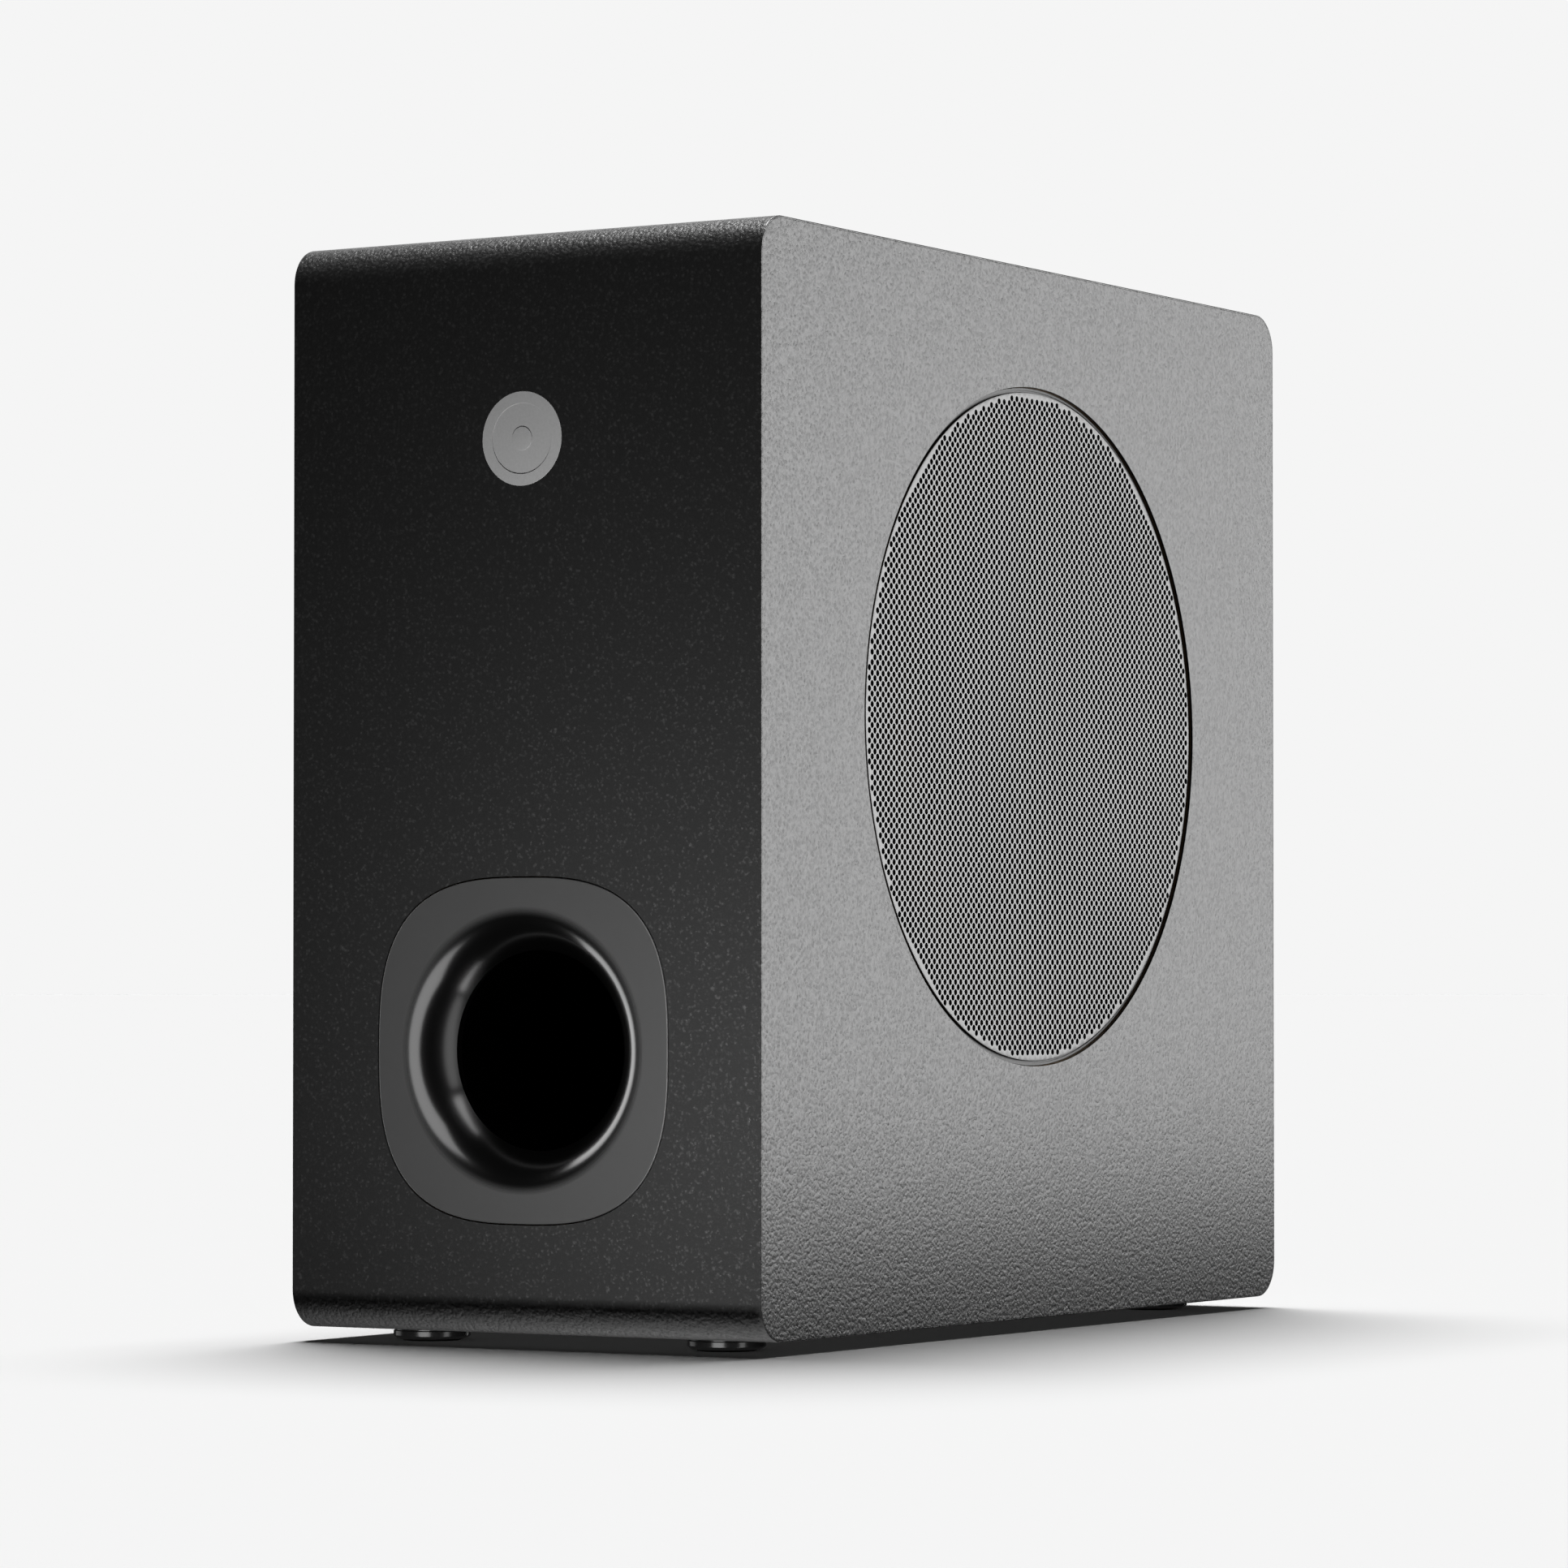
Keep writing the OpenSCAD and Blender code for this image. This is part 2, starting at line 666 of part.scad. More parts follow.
module tact_switch() {
    color("#303032") translate([button_x, 0, panel_z]) {
        block([0, control_y + 1.75, 0], [6, 3.5, 6]);
        translate([0, control_y + 3.5, 0]) rotate([-90, 0, 0]) cylinder(h = 1.3, r = 1.7);
    }
}
module status_led() {
    color("#dfe6ea") translate([led_x, control_y, panel_z]) rotate([-90, 0, 0]) {
        cylinder(h = 1, r = 1.9);
        cylinder(h = panel_y + 0.3 - control_y, r = led_r);
    }
}
module standoffs() {
    color("#b8b8ba") {
        for (x = [-1, 1], z = [-1, 1]) translate([x * (pcb_w / 2 - 5), board_y + pcb_t, pcb_z + z * (pcb_h / 2 - 5)])
            rotate([-90, 0, 0]) cylinder(h = plate_y - board_y - pcb_t, r = 3, $fn = 6);
        for (x = [button_x - 7, led_x + 6]) translate([x, control_y, panel_z + 6]) rotate([-90, 0, 0])
            cylinder(h = plate_y - control_y, r = 2, $fn = 6);
    }
}
module amp_board() {
    color("#1f5a37") block([0, board_y + pcb_t / 2, pcb_z], [pcb_w, pcb_t, pcb_h]);
}
module heat_sink() {
    fins = 7;
    color("#9ea1a4") difference() {
        block([8, board_y + pcb_t + 11.7, pcb_z + 26], [48, 23.3, 24]);
        for (i = [0:fins - 2]) block([8 - 18 + 6 * i, board_y + pcb_t + 14, pcb_z + 26], [3.6, 15, 30]);
    }
}
module amp_chip() {
    color("#1a1a1a") block([8, board_y + pcb_t + 2.5, pcb_z + 11.5], [16, 4, 5]);
    color("#b0b0b0") for (i = [-3:3]) block([8 + 2 * i, board_y + pcb_t + 0.25, pcb_z + 11.5], [0.8, 0.5, 5]);
}
module transformer() {
    color("#3a3a3c") block([-16, board_y - 10, pcb_z + 12], [30, 20, 8]);
    color("#c9a23a") block([-16, board_y - 10, pcb_z + 20], [22, 16, 8]);
    color("#3a3a3c") block([-16, board_y - 10, pcb_z + 28], [30, 20, 8]);
}
module capacitors() {
    color("#22344f") {
        for (p = [[16, 32], [16, 12]]) translate([p[0], board_y, pcb_z + p[1]]) rotate([90, 0, 0])
            cylinder(h = 25, r = 8);
        for (p = [[-28, -10], [-14, -10], [0, -10], [28, -30]]) translate([p[0], board_y, pcb_z + p[1]])
            rotate([90, 0, 0]) cylinder(h = 12, r = 4);
    }
}
module inductors() {
    color("#6e4a2c") for (x = [-24, 0]) translate([x, board_y, pcb_z - 30]) rotate([90, 0, 0])
        tube(8, 3.5, 9);
}
module wireless_module() {
    color("#1f5a37") block([22, board_y - 3, pcb_z - 14], [22, 1, 16]);
    color("#b8bbbd") block([20, board_y - 5, pcb_z - 14], [14, 3, 13]);
    color("#c9b037") block([22, board_y - 1.25, pcb_z - 14], [18, 2.5, 2]);
}
module mains_wires() {
    low_z = pcb_z - pcb_h / 2 + 6;
    color("#3b2d22") for (x = [-pin_half, pin_half]) translate([inlet_x + x, 0, 0]) wire([
        [0, pin_y - wire_gap, panel_z], [0, board_y - 6, panel_z + 1], [0, board_y - 9, (panel_z + low_z) / 2],
        [0, board_y - 6, low_z], [0, board_y - wire_gap, low_z]
    ], wire_r, [1, 0, 0]);
}
module speaker_wires() {
    x = strip_x - 3;
    color("#7a1f1f") for (i = [-1, 1]) wire([
        [x, strip_r + 2 + wire_gap, driver_z + tag_z * i], [x, strip_r + 14, driver_z + tag_z * i],
        [x + 2, board_y - 20, pcb_z + 24 + 4 * i], [x + 2, board_y - wire_gap, pcb_z + 24 + 4 * i]
    ], wire_r, [1, 0, 0]);
}

// Polyester pad on the blank side panel
module wadding() {
    color("#e6e4dd") along_x(-inner_x, -inner_x + 16) translate([0, driver_z]) rounded(170, 130, 20);
}

vinyl_wrap();
vinyl_left();
vinyl_right();
front_board();
top_board();
rear_board();
bottom_board();
left_side_board();
right_side_board();
driver_baffle();
corner_battens();
grille_mesh();
grille_frame();
front_badge();
port_bezel();
port_gasket();
port_tube();
port_flare();
foot(-foot_x, -foot_y);  // foot_front_left
foot(foot_x, -foot_y);  // foot_front_right
foot(-foot_x, foot_y);  // foot_rear_left
foot(foot_x, foot_y);  // foot_rear_right
foot_pads();
foot_screws();
driver_gasket();
driver_basket();
driver_screws();
surround();
cone();
dust_cap();
voice_coil_former();
voice_coil();
spider();
top_plate();
ferrite_magnet();
pole_yoke();
terminal_strip();
terminal_tags();
tinsel_leads();
amp_gasket();
amp_plate();
amp_plate_screws();
mains_inlet();
inlet_pins();
pair_button();
control_board();
tact_switch();
status_led();
standoffs();
amp_board();
heat_sink();
amp_chip();
transformer();
capacitors();
inductors();
wireless_module();
mains_wires();
speaker_wires();
wadding();
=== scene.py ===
import math

import bpy
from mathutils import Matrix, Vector, noise
from mathutils.geometry import delaunay_2d_cdt


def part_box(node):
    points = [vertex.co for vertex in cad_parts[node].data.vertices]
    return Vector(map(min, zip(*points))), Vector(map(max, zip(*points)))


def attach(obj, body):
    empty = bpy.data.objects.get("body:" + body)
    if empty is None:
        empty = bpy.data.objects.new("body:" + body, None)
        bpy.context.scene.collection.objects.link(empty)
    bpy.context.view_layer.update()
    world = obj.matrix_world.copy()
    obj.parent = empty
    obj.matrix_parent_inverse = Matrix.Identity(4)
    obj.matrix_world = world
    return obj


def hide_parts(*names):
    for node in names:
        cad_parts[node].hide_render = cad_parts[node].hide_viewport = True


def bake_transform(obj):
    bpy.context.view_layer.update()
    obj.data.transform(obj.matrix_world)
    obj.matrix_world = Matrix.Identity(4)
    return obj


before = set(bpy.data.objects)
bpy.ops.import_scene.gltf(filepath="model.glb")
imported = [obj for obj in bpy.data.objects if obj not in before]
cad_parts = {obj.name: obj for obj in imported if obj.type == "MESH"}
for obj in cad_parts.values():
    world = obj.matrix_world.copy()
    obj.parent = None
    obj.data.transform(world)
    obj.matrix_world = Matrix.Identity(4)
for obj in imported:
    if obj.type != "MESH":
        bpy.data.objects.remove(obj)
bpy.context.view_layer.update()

MM = 0.001

# ------------------------------------------------------------------ stations, in millimetres, from the CAD nodes


def box_mm(node):
    low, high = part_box(node)
    return [v / MM for v in low], [v / MM for v in high]


def off_axis(p):
    """How far a point lies from the woofer's axis."""
    return math.hypot(p.y, p.z - driver_z)


wrap_low, wrap_high = box_mm("vinyl_wrap")
side_x, half_d = wrap_high[0], wrap_high[1]
foot_h, top_z = wrap_low[2], wrap_high[2]
mid_z = (foot_h + top_z) / 2
board_x = box_mm("vinyl_right")[0][0]
mesh_low, mesh_high = box_mm("grille_mesh")
driver_z = (mesh_low[2] + mesh_high[2]) / 2
mesh_r = (mesh_high[1] - mesh_low[1]) / 2
hole_r = mesh_r + 1
bezel_low, bezel_high = box_mm("port_bezel")
port_z = (bezel_low[2] + bezel_high[2]) / 2
bezel_half = (bezel_high[2] - bezel_low[2]) / 2
badge_low, badge_high = box_mm("front_badge")
badge_z = (badge_low[2] + badge_high[2]) / 2
badge_r = (badge_high[2] - badge_low[2]) / 2
plate_low, plate_high = box_mm("amp_plate")
seat_x = box_mm("driver_basket")[1][0]
tube_low, tube_high = box_mm("port_tube")
CORNER_R = 10
SKIN_T = 0.5
FLARE_R = 37


# ------------------------------------------------------------------ camera and light

def camera():
    data = bpy.data.cameras.new("camera")
    data.sensor_width = 36
    data.lens = 138.8
    data.shift_y = 0.04
    data.clip_end = 200
    obj = bpy.data.objects.new("camera", data)
    bpy.context.collection.objects.link(obj)
    obj.location = (0.84828, -1.41365, 0.09199)
    obj.rotation_euler = (math.radians(91.315), 0, math.radians(31.197))
    bpy.context.scene.camera = obj


camera()

AMBIENT = 0.02
FLOOR_LIGHT_FROM = Vector((-0.18, 0.27, 1))
LIT_OBJECT = bpy.data.collections.new("lit_floor_left_out")
LIT_FLOOR = bpy.data.collections.new("lit_floor_only")
NO_SHADE = bpy.data.collections.new("card_casts_no_floor_shadow")


def softbox(name, azimuth, elevation, distance, width, height, radiance, target=(0, 0, 0.14), only=None, matt=False):
    """Azimuth is measured from the front (-Y) towards the grille side (+X). A light may be kept off all but a few
    pieces, and a matt one leaves no mirror image of itself."""
    data = bpy.data.lights.new(name, "AREA")
    data.shape = "RECTANGLE"
    data.size, data.size_y = width, height
    data.energy = radiance * width * height * math.pi
    obj = bpy.data.objects.new(name, data)
    bpy.context.collection.objects.link(obj)
    a, e = math.radians(azimuth), math.radians(elevation)
    from_target = Vector((math.sin(a) * math.cos(e), -math.cos(a) * math.cos(e), math.sin(e)))
    obj.location = Vector(target) + distance * from_target
    obj.rotation_euler = from_target.to_track_quat("Z", "Y").to_euler()
    obj.visible_camera = False
    obj.visible_glossy = not matt
    obj.light_linking.receiver_collection = LIT_OBJECT
    if only:
        lit = bpy.data.collections.new("lit_by_" + name)
        for piece_name in only:
            lit.objects.link(bpy.data.objects[piece_name])
        obj.light_linking.receiver_collection = lit


def stage():
    """A pale floor that takes the contact shadow, and a backdrop of the same grey behind it."""
    pale = 0.913
    world = bpy.data.worlds.new("studio")
    world.use_nodes = True
    world.node_tree.nodes["Background"].inputs["Color"].default_value = (1, 1, 1, 1)
    world.node_tree.nodes["Background"].inputs["Strength"].default_value = AMBIENT
    bpy.context.scene.world = world

    def flat(name, verts, faces, tone, glows=False):
        mesh = bpy.data.meshes.new(name)
        mesh.from_pydata(verts, [], faces)
        obj = bpy.data.objects.new(name, mesh)
        bpy.context.collection.objects.link(obj)
        mat = bpy.data.materials.new(name)
        mat.use_nodes = True
        tree = mat.node_tree
        tree.nodes.clear()
        out = tree.nodes.new("ShaderNodeOutputMaterial")
        node = tree.nodes.new("ShaderNodeEmission" if glows else "ShaderNodeBsdfDiffuse")
        node.inputs["Color"].default_value = (tone, tone, tone, 1)
        tree.links.new(node.outputs[0], out.inputs["Surface"])
        mesh.materials.append(mat)
        obj.visible_diffuse = obj.visible_glossy = obj.visible_shadow = False
        obj.visible_transmission = False
        return obj

    reach = 60
    ring = [(reach * math.cos(math.tau * i / 64), reach * math.sin(math.tau * i / 64)) for i in range(64)]
    floor = flat("floor", [(x, y, 0) for x, y in ring], [tuple(range(64))], 0.9)
    low = [(x, y, -1) for x, y in ring]
    high = [(x, y, 60) for x, y in ring]
    walls = [(i, (i + 1) % 64, 64 + (i + 1) % 64, 64 + i) for i in range(64)]
    back = flat("backdrop", low + high, walls + [tuple(range(64, 128))], pale, True)

    # black cards, out of the camera's sight, that keep the lights off the cabinet's foot
    cards = [
        flat("side_card", [(0.19, -0.10, -0.4), (0.19, 0.75, -0.4), (0.19, 0.75, 0.022), (0.19, -0.10, 0.022)],
             [(0, 1, 2, 3)], 0.0),
        flat("front_card", [(-0.1, -0.146, 0.004), (0.071, -0.146, 0.004), (0.071, -0.146, 0.0136),
                            (-0.1, -0.146, 0.0136)], [(0, 1, 2, 3)], 0.0),
    ]
    for card in cards:
        card.visible_camera = False
        card.visible_diffuse = card.visible_glossy = card.visible_shadow = True
        NO_SHADE.objects.link(card)
    for item in NO_SHADE.collection_objects:
        item.light_linking.link_state = "EXCLUDE"
    LIT_FLOOR.objects.link(floor)
    LIT_OBJECT.objects.link(floor)
    LIT_OBJECT.objects.link(back)
    for item in LIT_OBJECT.collection_objects:
        item.light_linking.link_state = "EXCLUDE"

    sun = bpy.data.lights.new("floor_light", "SUN")
    sun.energy = (pale / 0.9 - AMBIENT) * math.pi * FLOOR_LIGHT_FROM.length
    sun.angle = math.radians(35)
    obj = bpy.data.objects.new("floor_light", sun)
    bpy.context.collection.objects.link(obj)
    obj.light_linking.receiver_collection = LIT_FLOOR
    obj.light_linking.blocker_collection = NO_SHADE
    obj.rotation_euler = FLOOR_LIGHT_FROM.to_track_quat("Z", "Y").to_euler()


stage()
bpy.context.scene.view_settings.view_transform = "Standard"
bpy.context.scene.view_settings.look = "None"


# ------------------------------------------------------------------ finishes

def grain(tree, kind, scale):
    """The texture that gives a finish its height and its mottling. Scale is features per metre."""
    new, link = tree.nodes.new, tree.links.new
    at = new("ShaderNodeTexCoord").outputs["Object"]

    def mapped(factors):
        node = new("ShaderNodeMapping")
        node.inputs["Scale"].default_value = factors
        link(at, node.inputs["Vector"])
        return node.outputs["Vector"]

    def clouds(size, detail=2.0, rough=0.5, warp=0.0, stretch=(1, 1, 1)):
        node = new("ShaderNodeTexNoise")
        node.inputs["Scale"].default_value = size
        node.inputs["Detail"].default_value = detail
        node.inputs["Roughness"].default_value = rough
        node.inputs["Distortion"].default_value = warp
        link(mapped(stretch), node.inputs["Vector"])
        return node.outputs["Fac"]

    def mixed(a, b, share, how="ADD"):
        scaled = new("ShaderNodeMath")
        scaled.operation = "MULTIPLY"
        scaled.inputs[1].default_value = share
        link(b, scaled.inputs[0])
        node = new("ShaderNodeMath")
        node.operation = how
        link(a, node.inputs[0])
        link(scaled.outputs[0], node.inputs[1])
        return node.outputs[0]

    if kind == "leather":
        cells = new("ShaderNodeTexVoronoi")
        cells.feature = "SMOOTH_F1"
        cells.inputs["Scale"].default_value = scale
        cells.inputs["Smoothness"].default_value = 0.6
        link(at, cells.inputs["Vector"])
        return mixed(clouds(scale * 0.9, 2, 0.55, 0.8), cells.outputs["Distance"], -0.7)
    if kind == "weave":
        waves = []
        for axis in ("Y", "Z"):
            node = new("ShaderNodeTexWave")
            node.bands_direction = axis
            node.inputs["Scale"].default_value = scale
            node.inputs["Distortion"].default_value = 0.6
            link(at, node.inputs["Vector"])
            waves.append(node.outputs["Fac"])
        return mixed(waves[0], waves[1], 1.0, "MAXIMUM")
    if kind == "brushed":
        return clouds(scale, 3, 0.6, 0.0, (1, 1, 0.04))
    if kind == "wood":
        return clouds(scale, 4, 0.6, 0.4, (0.06, 1, 1))
    if kind == "fibres":
        return mixed(clouds(scale, 3, 0.7, 1.5), clouds(scale * 4, 2, 0.6), 0.5)
    return clouds(scale, 3, 0.6)


def finish(name, dark, light, rough, kind="plain", scale=900, depth=0.03, metal=0.0):
    """A procedural finish. dark and light are the two ends of its mottling, rough the two ends of its roughness,
    scale the features of its grain per metre, and depth the height of its grain in millimetres."""
    mat = bpy.data.materials.new(name)
    mat.use_nodes = True
    tree = mat.node_tree
    new, link = tree.nodes.new, tree.links.new
    shader = tree.nodes["Principled BSDF"]
    shader.inputs["Metallic"].default_value = metal
    height = grain(tree, kind, scale)
    ramp = new("ShaderNodeValToRGB")
    ramp.color_ramp.elements[0].color = (*dark, 1)
    ramp.color_ramp.elements[1].color = (*light, 1)
    ramp.color_ramp.elements[0].position = 0.25
    ramp.color_ramp.elements[1].position = 0.75
    link(height, ramp.inputs["Fac"])
    link(ramp.outputs["Color"], shader.inputs["Base Color"])
    span = new("ShaderNodeMapRange")
    span.inputs["To Min"].default_value, span.inputs["To Max"].default_value = rough
    link(height, span.inputs["Value"])
    link(span.outputs["Result"], shader.inputs["Roughness"])
    if depth:
        bump = new("ShaderNodeBump")
        bump.inputs["Strength"].default_value = 1.0
        bump.inputs["Distance"].default_value = depth * MM
        link(height, bump.inputs["Height"])
        link(bump.outputs["Normal"], shader.inputs["Normal"])
    return mat


def grey(v, tint=1.0):
    return (v, v, v * tint)


# the two ends of the mottling, the two ends of the roughness, the grain's kind, scale and depth, and the metalness
FINISH_VALUES = {
    "vinyl": (grey(0.008), grey(0.023), (0.36, 0.62), "leather", 1000, 0.14),
    "fibreboard": ((0.20, 0.13, 0.07), (0.34, 0.23, 0.13), (0.8, 0.95), "fibres", 500, 0.05),
    "pine": ((0.42, 0.27, 0.12), (0.60, 0.43, 0.23), (0.55, 0.7), "wood", 260, 0.04),
    "grille_steel": (grey(0.11), grey(0.13), (0.38, 0.44), "plain", 2400, 0.004, 0.55),
    "black_plastic": (grey(0.004), grey(0.007), (0.45, 0.6), "plain", 1500, 0.02),
    "badge_metal": (grey(0.22), grey(0.25), (0.4, 0.5), "plain", 1600, 0.004),
    "satin_plastic": (grey(0.0112), grey(0.0124), (0.32, 0.36), "plain", 700, 0.0),
    "foam": (grey(0.006), grey(0.014), (0.9, 1.0), "plain", 2200, 0.08),
    "foot_plastic": (grey(0.010), grey(0.014), (0.16, 0.24), "plain", 900, 0.003),
    "foot_rubber": (grey(0.008), grey(0.013), (0.75, 0.9), "plain", 1600, 0.03),
    "screw_steel": (grey(0.42), grey(0.55), (0.28, 0.42), "plain", 1800, 0.01, 1.0),
    "black_screw": (grey(0.03), grey(0.06), (0.3, 0.45), "plain", 1800, 0.01, 0.9),
    "basket_steel": (grey(0.012), grey(0.018), (0.4, 0.5), "plain", 1300, 0.02),
    "surround_rubber": (grey(0.02), grey(0.03), (0.35, 0.45), "plain", 1500, 0.01),
    "cone_paper": (grey(0.022), grey(0.045), (0.6, 0.8), "fibres", 900, 0.06),
    "cap_paper": (grey(0.015), grey(0.025), (0.45, 0.6), "fibres", 1100, 0.03),
    "former_film": ((0.35, 0.2, 0.03), (0.5, 0.3, 0.06), (0.25, 0.35), "plain", 900, 0.01),
    "copper": ((0.55, 0.22, 0.08), (0.75, 0.36, 0.16), (0.25, 0.4), "brushed", 3000, 0.03, 1.0),
    "spider_cloth": ((0.36, 0.2, 0.05), (0.55, 0.35, 0.12), (0.7, 0.9), "weave", 900, 0.08),
    "motor_steel": (grey(0.30), grey(0.42), (0.3, 0.45), "brushed", 1500, 0.01, 1.0),
    "ferrite": (grey(0.03), grey(0.06), (0.5, 0.75), "plain", 1800, 0.04),
    "phenolic": ((0.14, 0.06, 0.02), (0.22, 0.11, 0.04), (0.45, 0.6), "fibres", 900, 0.02),
    "tag_brass": ((0.62, 0.5, 0.25), (0.72, 0.62, 0.36), (0.25, 0.4), "plain", 1500, 0.01, 1.0),
    "black_aluminium": (grey(0.012), grey(0.018), (0.38, 0.5), "plain", 1500, 0.035, 0.3),
    "inlet_plastic": (grey(0.006), grey(0.009), (0.4, 0.5), "plain", 1400, 0.01),
    "pin_metal": (grey(0.55), grey(0.66), (0.16, 0.28), "brushed", 2000, 0.005, 1.0),
    "button_plastic": (grey(0.014), grey(0.02), (0.3, 0.4), "plain", 1400, 0.008),
    "circuit_board": ((0.005, 0.07, 0.02), (0.01, 0.13, 0.045), (0.25, 0.4), "plain", 260, 0.01),
    "led_lens": (grey(0.62, 1.05), grey(0.7, 1.05), (0.06, 0.1), "plain", 400, 0.0),
    "bare_aluminium": (grey(0.5), grey(0.62), (0.3, 0.42), "brushed", 1800, 0.01, 1.0),
    "capacitor_sleeve": ((0.01, 0.02, 0.06), (0.02, 0.035, 0.09), (0.25, 0.35), "plain", 500, 0.01),
    "shield_metal": (grey(0.5), grey(0.6), (0.28, 0.4), "brushed", 1600, 0.005, 1.0),
    "wire_jacket": ((0.04, 0.015, 0.01), (0.06, 0.025, 0.018), (0.45, 0.55), "plain", 900, 0.01),
    "polyester": (grey(0.6, 0.95), grey(0.8, 0.96), (0.9, 1.0), "fibres", 700, 0.4),
}
FINISH = {name: finish(name, *values) for name, values in FINISH_VALUES.items()}
FINISH["led_lens"].node_tree.nodes["Principled BSDF"].inputs["Transmission Weight"].default_value = 0.5


def flare_gloss():
    """Gloss in the flare that turns into the face's satin at its lip. The gloss is the flare's own; its near-black
    colour, far darker than the satin face, is painted shade that keeps the port's recess dark.
    """
    mat = finish("flare_gloss", grey(0.0003), grey(0.0118), (0.19, 0.34), "plain", 700, 0.0)
    tree = mat.node_tree
    new, link = tree.nodes.new, tree.links.new
    flat = new("ShaderNodeMapping")
    flat.inputs["Location"].default_value = (0, 0, -port_z * MM)
    flat.inputs["Scale"].default_value = (1, 0, 1)
    link(new("ShaderNodeTexCoord").outputs["Object"], flat.inputs["Vector"])
    radius = new("ShaderNodeVectorMath")
    radius.operation = "LENGTH"
    link(flat.outputs["Vector"], radius.inputs[0])
    share = new("ShaderNodeMapRange")
    share.interpolation_type = "SMOOTHSTEP"
    share.inputs["From Min"].default_value = (FLARE_R - 3.2) * MM
    share.inputs["From Max"].default_value = FLARE_R * MM
    link(radius.outputs["Value"], share.inputs["Value"])
    for node in tree.nodes:
        if node.bl_idname == "ShaderNodeValToRGB":
            node.color_ramp.elements[0].position, node.color_ramp.elements[1].position = 0, 1
            link(share.outputs["Result"], node.inputs["Fac"])
        elif node.bl_idname == "ShaderNodeMapRange" and node != share:
            link(share.outputs["Result"], node.inputs["Value"])
    return mat


FINISH["flare_gloss"] = flare_gloss()

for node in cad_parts.values():
    for place in node.material_slots:
        place.material = FINISH[place.material.name.split(".")[0]]


# ------------------------------------------------------------------ mesh helpers; all in millimetres

def piece(name, verts, faces, slot, replaces=(), body="cabinet", sharp=35, weighted=True):
    """A named mesh that rides on a body, takes the place of CAD nodes, and is smooth but for its sharp edges."""
    mesh = bpy.data.meshes.new(name)
    mesh.from_pydata([Vector(v) * MM for v in verts], [], faces)
    mesh.validate()
    mesh.materials.append(FINISH[slot])
    mesh.shade_smooth()
    mesh.set_sharp_from_angle(angle=math.radians(sharp))
    obj = bpy.data.objects.new(name, mesh)
    bpy.context.collection.objects.link(obj)
    if weighted:
        mod = obj.modifiers.new("even_shading", "WEIGHTED_NORMAL")
        mod.keep_sharp = True
    if body:
        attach(obj, body)
    if replaces:
        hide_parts(*replaces)
    return obj


def second_finish(obj, look, applies):
    """Gives another finish to the faces whose centre and normal pass a test."""
    obj.data.materials.append(FINISH[look])
    for face in obj.data.polygons:
        if applies(face.center / MM, face.normal):
            face.material_index = 1


def eased(points, closed=True, steps=4):
    """A profile with rounded corners. Each point is (a, b) or (a, b, radius)."""
    out = []
    count = len(points)
    for i, p in enumerate(points):
        r = p[2] if len(p) > 2 else 0
        here = Vector(p[:2])
        if not r or (not closed and i in (0, count - 1)):
            out.append(tuple(here))
            continue
        back, on = Vector(points[i - 1][:2]) - here, Vector(points[(i + 1) % count][:2]) - here
        half = back.angle(on) / 2
        cut = min(r / math.tan(half), 0.49 * back.length, 0.49 * on.length)
        a, b = here + back.normalized() * cut, here + on.normalized() * cut
        for k in range(steps + 1):
            t = k / steps
            out.append(tuple(a * (1 - t) ** 2 + here * 2 * t * (1 - t) + b * t * t))
    return out


def arc(cx, cy, r, start, end, steps):
    return [
        (cx + r * math.cos(math.radians(start + (end - start) * i / steps)),
         cy + r * math.sin(math.radians(start + (end - start) * i / steps)))
        for i in range(steps + 1)
    ]


def turned(profile, axis, centre, sides=160, closed=True):
    """Verts and faces of a turned shape. Profile points are (radius, station); a radius of 0 is a pole."""
    verts, rows, faces = [], [], []
    for r, s in profile:
        row = []
        for k in range(1 if r < 1e-6 else sides):
            a = math.tau * k / sides
            u, v = r * math.cos(a), r * math.sin(a)
            row.append(len(verts))
            spot = {"X": (s, u, v), "Y": (u, s, v), "Z": (u, v, s)}[axis]
            verts.append(tuple(p + c for p, c in zip(spot, centre)))
        rows.append(row)
    pairs = list(zip(rows, rows[1:])) + ([(rows[-1], rows[0])] if closed else [])
    for a, b in pairs:
        if len(a) == 1 and len(b) == 1:
            continue
        for k in range(sides):
            n = (k + 1) % sides
            if len(a) == 1:
                faces.append((a[0], b[k], b[n]))
            elif len(b) == 1:
                faces.append((a[k], b[0], a[n]))
            else:
                faces.append((a[k], b[k], b[n], a[n]))
    return verts, faces


def face_out(verts, faces, towards):
    """Turns each face of a flat patch to look along a direction."""
    out = []
    d = Vector(towards)
    for f in faces:
        a, b, c = (Vector(verts[i]) for i in f[:3])
        out.append(tuple(f) if (b - a).cross(c - a).dot(d) > 0 else tuple(reversed(f)))
    return out


def loop_area(points):
    return sum(a[0] * b[1] - b[0] * a[1] for a, b in zip(points, points[1:] + points[:1])) / 2


def moved_in(points, d):
    """A closed counter-clockwise outline moved inwards by d."""
    out = []
    for i, p in enumerate(points):
        a, b = Vector(points[i - 1]), Vector(points[(i + 1) % len(points)])
        u, v = (Vector(p) - a).normalized(), (b - Vector(p)).normalized()
        n = Vector((-u.y - v.y, u.x + v.x)).normalized()
        out.append(tuple(Vector(p) + n * (d / max(0.5, n.dot(Vector((-u.y, u.x)))))))
    return out


